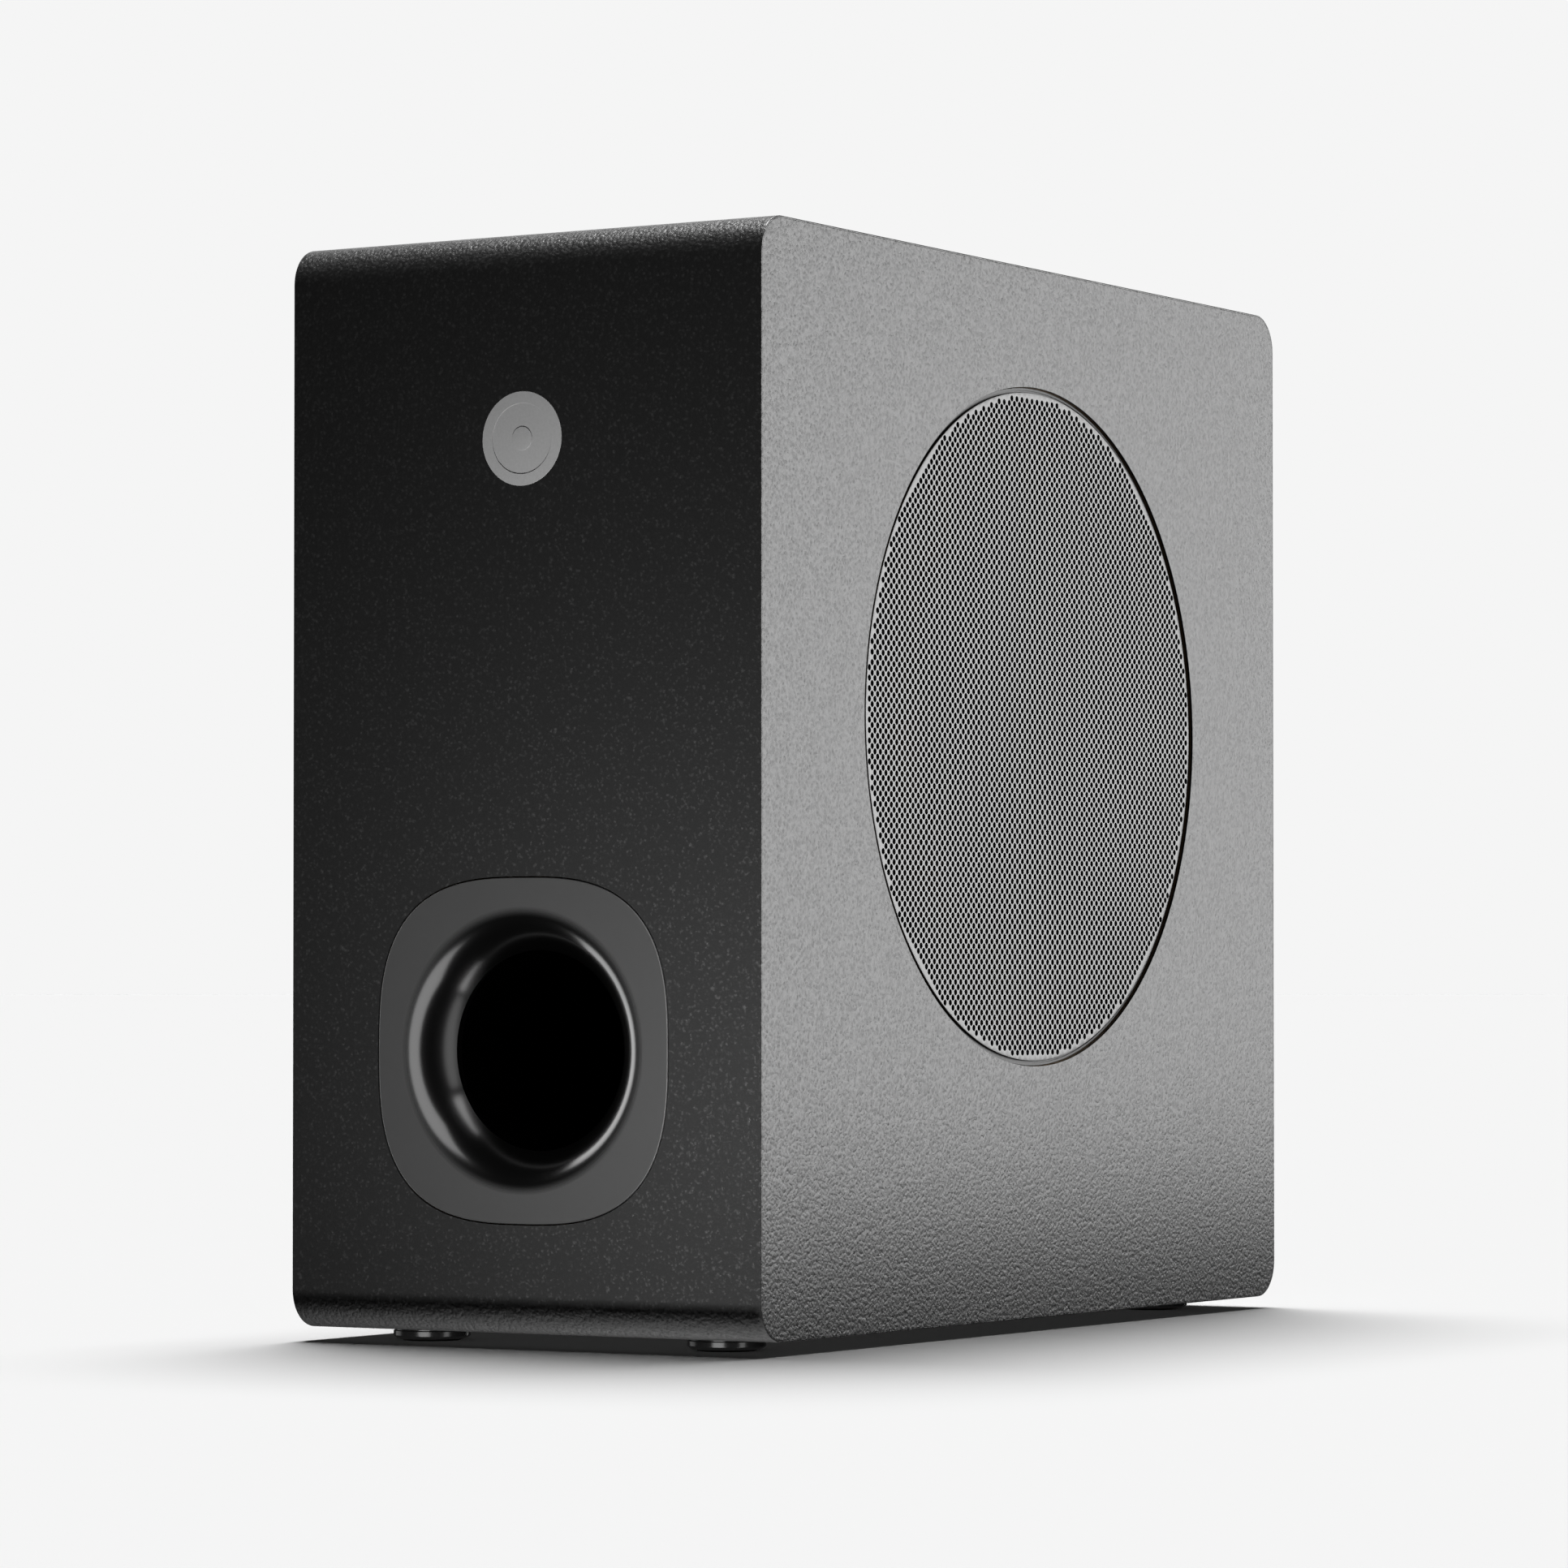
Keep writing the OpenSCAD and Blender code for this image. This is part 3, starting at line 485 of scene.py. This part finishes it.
def fill(loops):
    """Triangles of the area inside the first loop and outside the others, as indices into all the points."""
    points, edges = [], []
    for loop in loops:
        first = len(points)
        points += [Vector(p) for p in loop]
        edges += [(first + i, first + (i + 1) % len(loop)) for i in range(len(loop))]
    tris, origin = delaunay_2d_cdt(points, edges, [], 1, 1e-5)[2:4]
    names = [o[0] for o in origin]
    kept = []
    for t in tris:
        c = sum((points[names[i]] for i in t), Vector((0, 0))) / 3
        inside = [winds(c, loop) for loop in loops]
        if inside[0] and not any(inside[1:]):
            kept.append(tuple(names[i] for i in t))
    return kept


def winds(p, loop):
    """Whether a point lies in a loop."""
    odd = False
    for a, b in zip(loop, loop[1:] + loop[:1]):
        if (a[1] > p[1]) != (b[1] > p[1]) and p[0] < (b[0] - a[0]) * (p[1] - a[1]) / (b[1] - a[1]) + a[0]:
            odd = not odd
    return odd


def joined(*parts):
    """Several (verts, faces) as one."""
    verts, faces = [], []
    for v, f in parts:
        first = len(verts)
        verts += v
        faces += [tuple(i + first for i in loop) for loop in f]
    return verts, faces


def rounded_rect(w, h, r, centre=(0, 0), steps=12):
    cx, cy = centre
    out = []
    for sx, sy, start in ((1, 1, 0), (-1, 1, 90), (-1, -1, 180), (1, -1, 270)):
        out += arc(cx + sx * (w / 2 - r), cy + sy * (h / 2 - r), r, start, start + 90, steps)
    return out


def circle(r, centre=(0, 0), sides=128):
    return arc(*centre, r, 0, 360, sides)[:-1]


def sheet(loops, s0, s1):
    """A flat sheet across X with eased front edges, from the outline loops[0] less the holes loops[1:]. Its front is
    at s1 and its back at s0."""
    loops = [loop if loop_area(loop) > 0 else loop[::-1] for loop in loops]
    up = 1 if s1 > s0 else -1
    verts, faces, fronts = [], [], []
    ease, steps = 0.12, 3
    for k, loop in enumerate(loops):
        rings = [[(*p, s0) for p in loop]]
        for i in range(steps + 1):
            a = math.pi / 2 * i / steps
            inset = ease * (1 - math.cos(a)) * (1 if k == 0 else -1)
            rings.append([(*p, s1 - up * ease * (1 - math.sin(a))) for p in moved_in(loop, inset)])
        first = len(verts)
        n = len(loop)
        for ring in rings:
            verts += ring
        for r in range(len(rings) - 1):
            for i in range(n):
                j = (i + 1) % n
                quad = (first + r * n + i, first + r * n + j, first + (r + 1) * n + j, first + (r + 1) * n + i)
                faces.append(quad if k == 0 else quad[::-1])
        fronts.append((first + (len(rings) - 1) * n, n))
    names = [i for first, n in fronts for i in range(first, first + n)]
    front = [[verts[i][:2] for i in range(first, first + n)] for first, n in fronts]
    faces += [tuple(names[i] for i in t) for t in fill(front)]
    backs, first = [], 0
    for loop in loops:
        backs += range(first, first + len(loop))
        first += len(loop) * (steps + 2)
    faces += [tuple(backs[i] for i in t)[::-1] for t in fill(loops)]
    return [(x, y, z) for y, z, x in verts], faces


def superellipse(a, power, centre=(0, 0), n=288):
    out = []
    for i in range(n):
        t = math.tau * i / n
        c, s = math.cos(t), math.sin(t)
        out.append((centre[0] + a * math.copysign(abs(c) ** (2 / power), c),
                    centre[1] + a * math.copysign(abs(s) ** (2 / power), s)))
    return out


# ------------------------------------------------------------------ vinyl

BEZEL_POWER = 2.9
BEZEL_GAP = 0.3


cabinet_outline = rounded_rect(2 * half_d, top_z - foot_h, CORNER_R, (0, mid_z), 16)


def wrapped_vinyl():
    """One sheet round the front, top, rear and bottom, with eased ends, and the openings cut through its walls."""
    loop = cabinet_outline
    ease = 0.3
    rings = [(-board_x, SKIN_T), (-side_x, SKIN_T)]
    rings += [(-side_x + ease * (1 - math.cos(a)), ease * (1 - math.sin(a)))
              for a in (0, math.pi / 6, math.pi / 3, math.pi / 2)]
    rings += [(-x, inset) for x, inset in reversed(rings)]
    verts, faces = [], []
    n = len(loop)
    for x, inset in rings:
        verts += [(x, y, z) for y, z in moved_in(loop, inset)]
    middle = len(rings) // 2 - 1
    flats = []
    for r in range(len(rings) - 1):
        for i in range(n):
            j = (i + 1) % n
            quad = (r * n + i, r * n + j, (r + 1) * n + j, (r + 1) * n + i)
            long_side = (Vector(loop[i]) - Vector(loop[j])).length > 50
            if r == middle and long_side:
                flats.append(quad)
            else:
                faces.append(quad)
    cuts = {
        -1: [superellipse(bezel_half + BEZEL_GAP, BEZEL_POWER, (0, port_z)),
             circle(badge_r + 0.1, (0, badge_z), 96)],
        1: [rounded_rect(plate_high[0] - plate_low[0] + 0.6, plate_high[2] - plate_low[2] + 0.6, 0.6,
                         (0, (plate_high[2] + plate_low[2]) / 2), 3)],
    }
    for quad in flats:
        a, c = Vector(verts[quad[0]]), Vector(verts[quad[2]])
        if abs(a.y - c.y) > 1:  # top and bottom
            faces.append(quad)
            continue
        side = -1 if a.y < 0 else 1
        y = a.y
        outer = [(verts[q][0], verts[q][2]) for q in quad]
        names, points = list(quad), [outer]
        for hole in cuts[side]:
            first = len(verts)
            k = len(hole)
            verts += [(x, y, z) for x, z in hole] + [(x, y - side * SKIN_T, z) for x, z in hole]
            names += range(first, first + k)
            points.append(hole)
            rim = [(first + i, first + (i + 1) % k, first + k + (i + 1) % k, first + k + i) for i in range(k)]
            middle_of_hole = Vector((sum(p[0] for p in hole) / k, y, sum(p[1] for p in hole) / k))
            for f in rim:
                c0 = sum((Vector(verts[i]) for i in f), Vector()) / 4
                faces += face_out(verts, [f], middle_of_hole - c0)
        patch = [tuple(names[i] for i in t) for t in fill(points)]
        faces += face_out(verts, patch, (0, side, 0))
    return verts, faces


verts, faces = wrapped_vinyl()
wrap = piece("vinyl_wrap_skin", verts, faces, "vinyl", ["vinyl_wrap"])
# the walls of the bezel's opening are painted black: painted shade in the gap round the port surround
second_finish(wrap, "black_plastic", lambda at, normal: (
    abs(normal.y) < 0.1 and at.y < 0 and max(abs(at.x), abs(at.z - port_z)) < bezel_half + 1))
film_outline = moved_in(cabinet_outline, SKIN_T)
verts, faces = sheet([film_outline, circle(hole_r, (0, driver_z), 256)], board_x, side_x)
film = piece("vinyl_right_skin", verts, faces, "vinyl", ["vinyl_right"])
# the wall of the grille's opening is painted black: painted shade in the groove round the grille
second_finish(film, "black_plastic", lambda at, normal: abs(normal.x) < 0.95 and off_axis(at) < hole_r + 0.2)
verts, faces = sheet([film_outline], -board_x, -side_x)
piece("vinyl_left_skin", verts, [f[::-1] for f in faces], "vinyl", ["vinyl_left"])


# ------------------------------------------------------------------ grille

def perforated_disc():
    """A steel disc with staggered round holes and their walls. Each hole sits in a diamond cell that shares its
    corners with its neighbours, and a strip between the last cells and the rim is filled round them."""
    step_y, step_z, bore, sides = 1.385, 1.335, 0.85, 8
    rim_sides, cell_margin, hole_margin, ease = 360, 0.35, 0.2, 0.15
    x1, x0, rim_r = mesh_high[0], mesh_low[0], mesh_r - 0.35
    verts, faces, corner = [], [], {}

    def corner_at(i, j):
        if (i, j) not in corner:
            corner[i, j] = len(verts)
            verts.append((x1, i * step_y, driver_z + j * step_z))
        return corner[i, j]

    kept = set()
    reach = int(mesh_r / step_z) + 2
    for i in range(-reach, reach + 1):
        for j in range(-reach, reach + 1):
            if (i + j) % 2 == 0:
                tips = [(i + 1, j), (i, j + 1), (i - 1, j), (i, j - 1)]
                if max(math.hypot(a * step_y, b * step_z) for a, b in tips) < rim_r - cell_margin:
                    kept.add((i, j))

    def hole(i, j):
        """The two rings of a hole and its wall."""
        first = len(verts)
        for x in (x1, x0):
            for k in range(sides):
                a = math.tau * (k + 0.5) / sides
                verts.append((x, i * step_y + bore * math.cos(a), driver_z + j * step_z + bore * math.sin(a)))
        for k in range(sides):
            n = (k + 1) % sides
            faces.append((first + k, first + n, first + sides + n, first + sides + k))
        return first

    for i, j in sorted(kept):
        first = hole(i, j)
        tips = [corner_at(i + 1, j), corner_at(i, j + 1), corner_at(i - 1, j), corner_at(i, j - 1)]
        for q in range(4):
            a, b = first + (2 * q - 1) % sides, first + 2 * q
            c = first + 2 * q + 1
            faces.append((tips[q], b, a))
            faces.append((tips[q], tips[(q + 1) % 4], c, b))
    # the staircase edge of the cells, then the strip out to the rim
    edges = {}
    for i, j in kept:
        ring = [(i + 1, j), (i, j + 1), (i - 1, j), (i, j - 1)]
        for a, b in zip(ring, ring[1:] + ring[:1]):
            if (b, a) in edges:
                del edges[b, a]
            else:
                edges[a, b] = True
    follow = {a: b for a, b in edges}
    start = next(iter(follow))
    stair, at = [start], follow[start]
    while at != start:
        stair.append(at)
        at = follow[at]
    rim = circle(rim_r - ease, (0, driver_z), rim_sides)
    first = len(verts)
    verts += [(x1, y, z) for y, z in rim]
    names = list(range(first, first + rim_sides)) + [corner[c] for c in stair]
    loops = [rim, [(i * step_y, driver_z + j * step_z) for i, j in stair]]
    for i in range(-reach, reach + 1):
        for j in range(-reach, reach + 1):
            fits = math.hypot(i * step_y, j * step_z) < rim_r - bore - hole_margin
            if (i + j) % 2 == 0 and (i, j) not in kept and fits:
                at = hole(i, j)
                names += range(at, at + sides)
                loops.append([verts[n][1:] for n in range(at, at + sides)])
    faces += face_out(verts, [tuple(names[i] for i in t) for t in fill(loops)], (1, 0, 0))
    last = first
    for r, x in ((rim_r - 0.05, x1 - 0.05), (rim_r, x1 - ease), (rim_r, x0)):
        ring = len(verts)
        verts += [(x, y, z) for y, z in circle(r, (0, driver_z), rim_sides)]
        for k in range(rim_sides):
            n = (k + 1) % rim_sides
            faces.append((last + k, ring + k, ring + n, last + n))
        last = ring
    return verts, faces


grille = piece("grille_sheet", *perforated_disc(), "grille_steel", ["grille_mesh"], weighted=False, sharp=50)
# the grille's rim wall is painted black: painted shade, so the groove round the grille reads dark
second_finish(grille, "black_plastic", lambda at, normal: abs(normal.x) < 0.5 and off_axis(at) > mesh_r - 0.5)


# ------------------------------------------------------------------ badge, port and feet

BADGE_GROOVE = 0.25


def grooved_disc():
    """A flush disc whose groove leaves a ring and a dot standing."""
    front, back, dot_r, groove_r = badge_low[1], badge_high[1], badge_r / 4, badge_r - 3
    floor, ease = front + BADGE_GROOVE, 0.08
    return turned(eased([(0, back), (badge_r, back), (badge_r, front, ease), (groove_r, front, ease), (groove_r, floor),
                         (dot_r, floor), (dot_r, front, ease), (0, front)], False), "Y", (0, 0, badge_z), 128, False)


badge = piece("front_ring_badge", *grooved_disc(), "badge_metal", ["front_badge"])
second_finish(badge, "black_plastic", lambda at, normal: (
    abs(at.y - badge_low[1] - BADGE_GROOVE) < 0.02 and normal.y < -0.5))


def port_surround():
    """The flat soft-square face, the flare that steepens down to the throat's edge, and the collar behind it."""
    edge_r, throat_r, depth, steepening, steps, ease = 25.5, 27.0, 8.6, 2.2, 40, 0.3
    collar_r, flange_r = throat_r + 2.7, throat_r + 5.1
    front, back, skirt, collar_back = bezel_low[1], bezel_high[1], bezel_low[1] + 2.8, bezel_low[1] + 13.15
    edge = superellipse(bezel_half, BEZEL_POWER, (0, 0), 384)
    edge = edge if loop_area(edge) > 0 else edge[::-1]
    rings = [(edge, skirt), (edge, front + ease)]
    for k in range(1, 5):
        a = math.pi / 2 * k / 4
        rings.append((moved_in(edge, ease * (1 - math.cos(a))), front + ease * (1 - math.sin(a))))
    rings.append((moved_in(edge, ease + 0.2), front))
    bearing = [math.atan2(z, x) for x, z in edge]

    def ring_at(r, y):
        rings.append(([(r * math.cos(a), r * math.sin(a)) for a in bearing], y))

    ring_at(FLARE_R + 1.2, front)
    for k in range(steps + 1):
        ring_at(FLARE_R - (FLARE_R - edge_r) * k / steps, front + depth * (k / steps) ** steepening)
    for r, y in ((throat_r, front + depth + 1), (throat_r, collar_back - 0.15), (throat_r + 0.04, collar_back - 0.05),
                 (throat_r + 0.15, collar_back), (collar_r, collar_back), (collar_r, back), (flange_r, back),
                 (flange_r, front + 7.8), (FLARE_R + 2, skirt)):
        ring_at(r, y)
    verts, faces = [], []
    n = len(edge)
    for loop, y in rings:
        verts += [(x, y, port_z + z) for x, z in loop]
    for r in range(len(rings)):
        s = (r + 1) % len(rings)
        for i in range(n):
            j = (i + 1) % n
            faces.append((r * n + i, s * n + i, s * n + j, r * n + j))
    return verts, faces


bezel = piece("port_surround", *port_surround(), "satin_plastic", ["port_bezel"], sharp=40)
# the flare takes the gloss whose near-black colour is painted shade of the port's recess
second_finish(bezel, "flare_gloss", lambda at, normal: (
    math.hypot(at.x, at.z - port_z) < FLARE_R and at.y > bezel_low[1] + 0.01))

tube_r, tube_t = 27.5, 2
verts, faces = turned(eased([(tube_r, tube_low[1], 0.3), (tube_r, tube_high[1]), (tube_r + tube_t, tube_high[1]),
                             (tube_r + tube_t, tube_low[1], 0.3)]), "Y", (0, 0, port_z), 160)
piece("port_duct", verts, faces, "black_plastic", ["port_tube"])

flare_low, flare_high = box_mm("port_flare")
collar, flare_len = 6, 8
gap = flare_high[1] - flare_low[1] - collar - flare_len
socket_r, start = tube_r + tube_t + gap, flare_high[1] - flare_len
sweep = [math.pi / 2 * k / 14 for k in range(15)]
inside = [(tube_r + flare_len * (1 - math.cos(u)), start + flare_len * math.sin(u)) for u in sweep]
outside = [(socket_r + tube_t + 0.8 * flare_len * (1 - math.cos(u)), start + flare_len * math.sin(u))
           for u in reversed(sweep)]
inside[-1], outside[0] = (*inside[-1], 0.5), (*outside[0], 0.5)
profile = inside + outside + [(socket_r + tube_t, flare_low[1], 0.4), (socket_r, flare_low[1], 0.2), (socket_r, start)]
verts, faces = turned(eased(profile), "Y", (0, 0, port_z), 160)
piece("port_duct_flare", verts, faces, "black_plastic", ["port_flare"])

PAD_HOLE_R = 7.6
FOOT_NODES = ("foot_front_left", "foot_front_right", "foot_rear_left", "foot_rear_right")
for name in FOOT_NODES:
    low, high = box_mm(name)
    r = (high[0] - low[0]) / 2
    centre = ((low[0] + high[0]) / 2, (low[1] + high[1]) / 2, 0)
    top, waist_r = high[2], r - 0.35
    profile = [(PAD_HOLE_R, top), (r, top), (r, top - 0.35, 0.1), (waist_r, top - 0.5, 0.1), (waist_r, top - 0.8, 0.1),
               (r, top - 0.95, 0.1), (r, low[2] + 0.7, 0.4), (r - 0.9, low[2], 0.3), (PAD_HOLE_R + 0.1, low[2], 0.1),
               (PAD_HOLE_R, low[2] + 0.6)]
    base_r, base_low, base_high = PAD_HOLE_R + 0.05, 1.95, top - 0.1
    base = [(0, base_low), (base_r, base_low), (base_r, base_high), (0, base_high)]
    parts = turned(eased(profile), "Z", centre, 96), turned(base, "Z", centre, 96, False)
    piece(name + "_moulding", *joined(*parts), "foot_plastic", [name])


# ------------------------------------------------------------------ woofer

def radial_blend(obj, weight):
    """Bakes the piece's placement into its mesh and works out a weight for each point from its place; nothing uses the
    weights, so the piece doesn't bend.
    """
    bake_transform(obj)
    values = [weight(v.co / MM) for v in obj.data.vertices]


def eased_step(t):
    t = min(1.0, max(0.0, t))
    return t * t * (3 - 2 * t)


roll_r, roll, cone_r = 57, 6, 51
outer = arc(roll_r, seat_x, roll, 0, 180, 28)
inner = arc(roll_r, seat_x, roll - 1, 180, 0, 28)
flange_r, lip_r = roll_r + roll + 2.5, cone_r - 3.5
profile = ([(flange_r, seat_x + 0.05), (flange_r, seat_x + 1, 0.3), (roll_r + roll + 0.1, seat_x + 1)] + outer[4:-4]
           + [(cone_r - 0.1, seat_x + 1), (lip_r, seat_x + 1, 0.3), (lip_r, seat_x + 0.05)] + inner)
verts, faces = turned(eased(profile), "X", (0, 0, driver_z), 192)
surround = piece("surround_roll", verts, faces, "surround_rubber", ["surround"], body=None, weighted=False)
radial_blend(surround, lambda p: eased_step((roll_r + roll - off_axis(p)) / (2 * roll)))

neck_x, former_r = seat_x - 19.5, 15.7
profile = eased([(cone_r, seat_x - 1), (cone_r, seat_x - 0.02), (lip_r, seat_x - 0.02, 0.8),
                 (42.0, seat_x - 2.9, 1.2), (41.4, seat_x - 3.5, 0.6), (former_r, neck_x), (former_r, neck_x - 1.2),
                 (cone_r - 3, seat_x - 1)])
verts, faces = turned(profile, "X", (0, 0, driver_z), 192)
piece("cone_body", verts, faces, "cone_paper", ["cone"], body="cone_assembly")

cap_low, cap_high = box_mm("dust_cap")
cap_r, rise = (cap_high[1] - cap_low[1]) / 2, cap_high[0] - cap_low[0]
ball = (cap_r ** 2 + rise ** 2) / (2 * rise)
half = math.degrees(math.asin(cap_r / ball))
dome = [(r, s + cap_high[0] - ball) for s, r in arc(0, 0, ball, 0, half, 20)]
under = [(r, s + cap_high[0] - ball) for s, r in arc(0, 0, ball - 0.8, half, 0, 20)]
verts, faces = turned([(max(0, r), s) for r, s in dome + under], "X", (0, 0, driver_z), 128, False)
piece("dust_cap_dome", verts, faces, "cap_paper", ["dust_cap"], body="cone_assembly", weighted=False)

spider_low, spider_high = box_mm("spider")
spider_x = (spider_low[0] + spider_high[0]) / 2
r0, r1 = former_r, (spider_high[2] - spider_low[2]) / 2
waved = [(r0 + (r1 - r0) * k / 96, spider_x + (1.1 * math.sin(math.tau * 6 * k / 96) if 6 <= k <= 90 else 0))
         for k in range(97)]
profile = [(r, s + 0.35) for r, s in waved] + [(r, s - 0.35) for r, s in reversed(waved)]
verts, faces = turned(profile, "X", (0, 0, driver_z), 128)
spider = piece("spider_cloth", verts, faces, "spider_cloth", ["spider"], body=None, weighted=False)
radial_blend(spider, lambda p: 1 - eased_step((off_axis(p) - r0 - 1) / (r1 - r0 - 2)))


def swept(points, r, sides=10, steps=10):
    """A round wire along a smooth curve through a few points; it never runs along Z."""
    ends = [points[0]] + points + [points[-1]]
    path = []
    for a, b, c, d in zip(ends, ends[1:], ends[2:], ends[3:]):
        a, b, c, d = (Vector(p) for p in (a, b, c, d))
        for k in range(steps):
            t = k / steps
            path.append(0.5 * (2 * b + (c - a) * t + (2 * a - 5 * b + 4 * c - d) * t * t
                               + (3 * b - a - 3 * c + d) * t * t * t))
    path.append(Vector(points[-1]))
    verts, faces = [], []
    n = len(path)
    for i, p in enumerate(path):
        along = (path[min(i + 1, n - 1)] - path[max(i - 1, 0)]).normalized()
        u = along.cross(Vector((0, 0, 1))).normalized()
        v = u.cross(along)
        verts += [tuple(p + r * (math.cos(math.tau * k / sides) * u + math.sin(math.tau * k / sides) * v))
                  for k in range(sides)]
    for i in range(n - 1):
        for k in range(sides):
            a, b = i * sides + k, i * sides + (k + 1) % sides
            faces.append((a, b, b + sides, a + sides))
    faces.append(tuple(range(sides))[::-1])
    faces.append(tuple((n - 1) * sides + k for k in range(sides)))
    return verts, faces


lead_low, lead_high = box_mm("tinsel_leads")
lead_r, landing_x = 0.6, seat_x - 27
pair = []
for side in (-1, 1):
    z = driver_z + side * ((lead_high[2] - lead_low[2]) / 2 - lead_r)
    pair.append(swept([(neck_x + 4, 27, z), (neck_x + 1.5, 34, z), (neck_x + 1, 44, z), (landing_x + 5, 52, z),
                       (landing_x + 1.2, 57, z)], lead_r))
leads = piece("tinsel_pair", *joined(*pair), "copper", ["tinsel_leads"], body=None, weighted=False)
radial_blend(leads, lambda p: 1 - eased_step((p.y - 28) / 26))


# ------------------------------------------------------------------ edges of the carried-over CAD nodes

def ease_edges(node, width):
    """Bevels a CAD node's sharp edges with modifiers, which leave its own mesh alone."""
    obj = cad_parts[node]
    weld = obj.modifiers.new("joined", "WELD")
    weld.merge_threshold = 0.002 * MM
    bevel = obj.modifiers.new("eased", "BEVEL")
    bevel.width = width * MM
    bevel.segments = 2
    bevel.limit_method = "ANGLE"
    bevel.angle_limit = math.radians(40)
    bevel.miter_outer = "MITER_ARC"
    shade = obj.modifiers.new("even_shading", "WEIGHTED_NORMAL")
    shade.keep_sharp = True


for node, width in {"amp_plate": 0.15, "amp_plate_screws": 0.1, "mains_inlet": 0.15, "pair_button": 0.25,
                    "inlet_pins": 0.3, "status_led": 0.2}.items():
    ease_edges(node, width)


# ------------------------------------------------------------------ wadding

def fleece_pad():
    """A crowned pad of lofted fibre with soft edges."""
    low, high = box_mm("wadding")
    size = [(b - a) / 2 for a, b in zip(low, high)]
    centre = [(a + b) / 2 for a, b in zip(low, high)]
    n = 56
    verts, faces = [], []
    for side in (1, -1):
        first = len(verts)
        for i in range(n + 1):
            for j in range(n + 1):
                u, v = 2 * i / n - 1, 2 * j / n - 1
                edge = max(0.0, 1 - abs(u) ** 8) ** 0.5 * max(0.0, 1 - abs(v) ** 8) ** 0.5
                coarse, fine = (noise.noise(Vector((u * k, v * k, side))) for k in (6, 23))
                lump = 0.12 * coarse + 0.05 * fine
                thick = edge * (0.82 + 0.14 * math.cos(u * 1.4) * math.cos(v * 1.4) + lump)
                x = centre[0] + size[0] * (thick if side > 0 else -edge)
                verts.append((max(low[0], min(high[0], x)), centre[1] + u * size[1] * (0.985 + 0.012 * lump),
                              centre[2] + v * size[2] * (0.985 + 0.012 * lump)))
        for i in range(n):
            for j in range(n):
                a = first + i * (n + 1) + j
                quad = (a, a + n + 1, a + n + 2, a + 1)
                faces.append(quad if side > 0 else quad[::-1])
    rim = ([(i, 0) for i in range(n)] + [(n, j) for j in range(n)] + [(i, n) for i in range(n, 0, -1)]
           + [(0, j) for j in range(n, 0, -1)])
    for a, b in zip(rim, rim[1:] + rim[:1]):
        p, q = a[0] * (n + 1) + a[1], b[0] * (n + 1) + b[1]
        r = (n + 1) ** 2
        faces.append((p, q, q + r, p + r)[::-1])
    return verts, faces


verts, faces = fleece_pad()
piece("fleece_pad", verts, faces, "polyester", ["wadding"], sharp=80, weighted=False)

# ------------------------------------------------------------------ lights

PORT = ["port_surround"]
PORT_AND_FEET = PORT + [name + "_moulding" for name in FOOT_NODES]
softbox("back_right_far", 155, 2, 1.8, 0.8, 1.3, 4.0)
softbox("back_right_near", 130, 2, 1.8, 0.8, 1.3, 8.2)
softbox("top", 180, 85, 1.6, 1.0, 1.0, 26, only=["vinyl_wrap_skin"])
softbox("near_front", 0, -3, 0.155, 0.07, 0.07, 93, (0.078, -0.141, 0.062),
        only=["vinyl_wrap_skin", "front_ring_badge"] + PORT, matt=True)
softbox("below", 0, -88, 0.6, 0.8, 0.8, 1.25, only=["vinyl_wrap_skin"])
softbox("port_strip", 8, 0, 1.6, 0.9, 2.6, 5, only=PORT_AND_FEET)
softbox("port_side", 74, -9, 1.5, 0.42, 2.4, 2.5, only=PORT_AND_FEET)
softbox("port_side_high", 74, 55, 1.5, 0.5, 1.0, 6, only=PORT)
softbox("port_side_low", 74, -66, 1.5, 0.5, 0.75, 6, only=PORT)
softbox("port_left", -80, 0, 1.6, 0.9, 1.8, 5, only=PORT)
softbox("back_left", 225, 18, 2.2, 1.4, 1.6, 1.0)
softbox("left", 275, 10, 2.2, 1.2, 1.6, 0.8)
softbox("left_front", 318, 8, 2.2, 1.6, 1.6, 7, only=["vinyl_left_skin"])
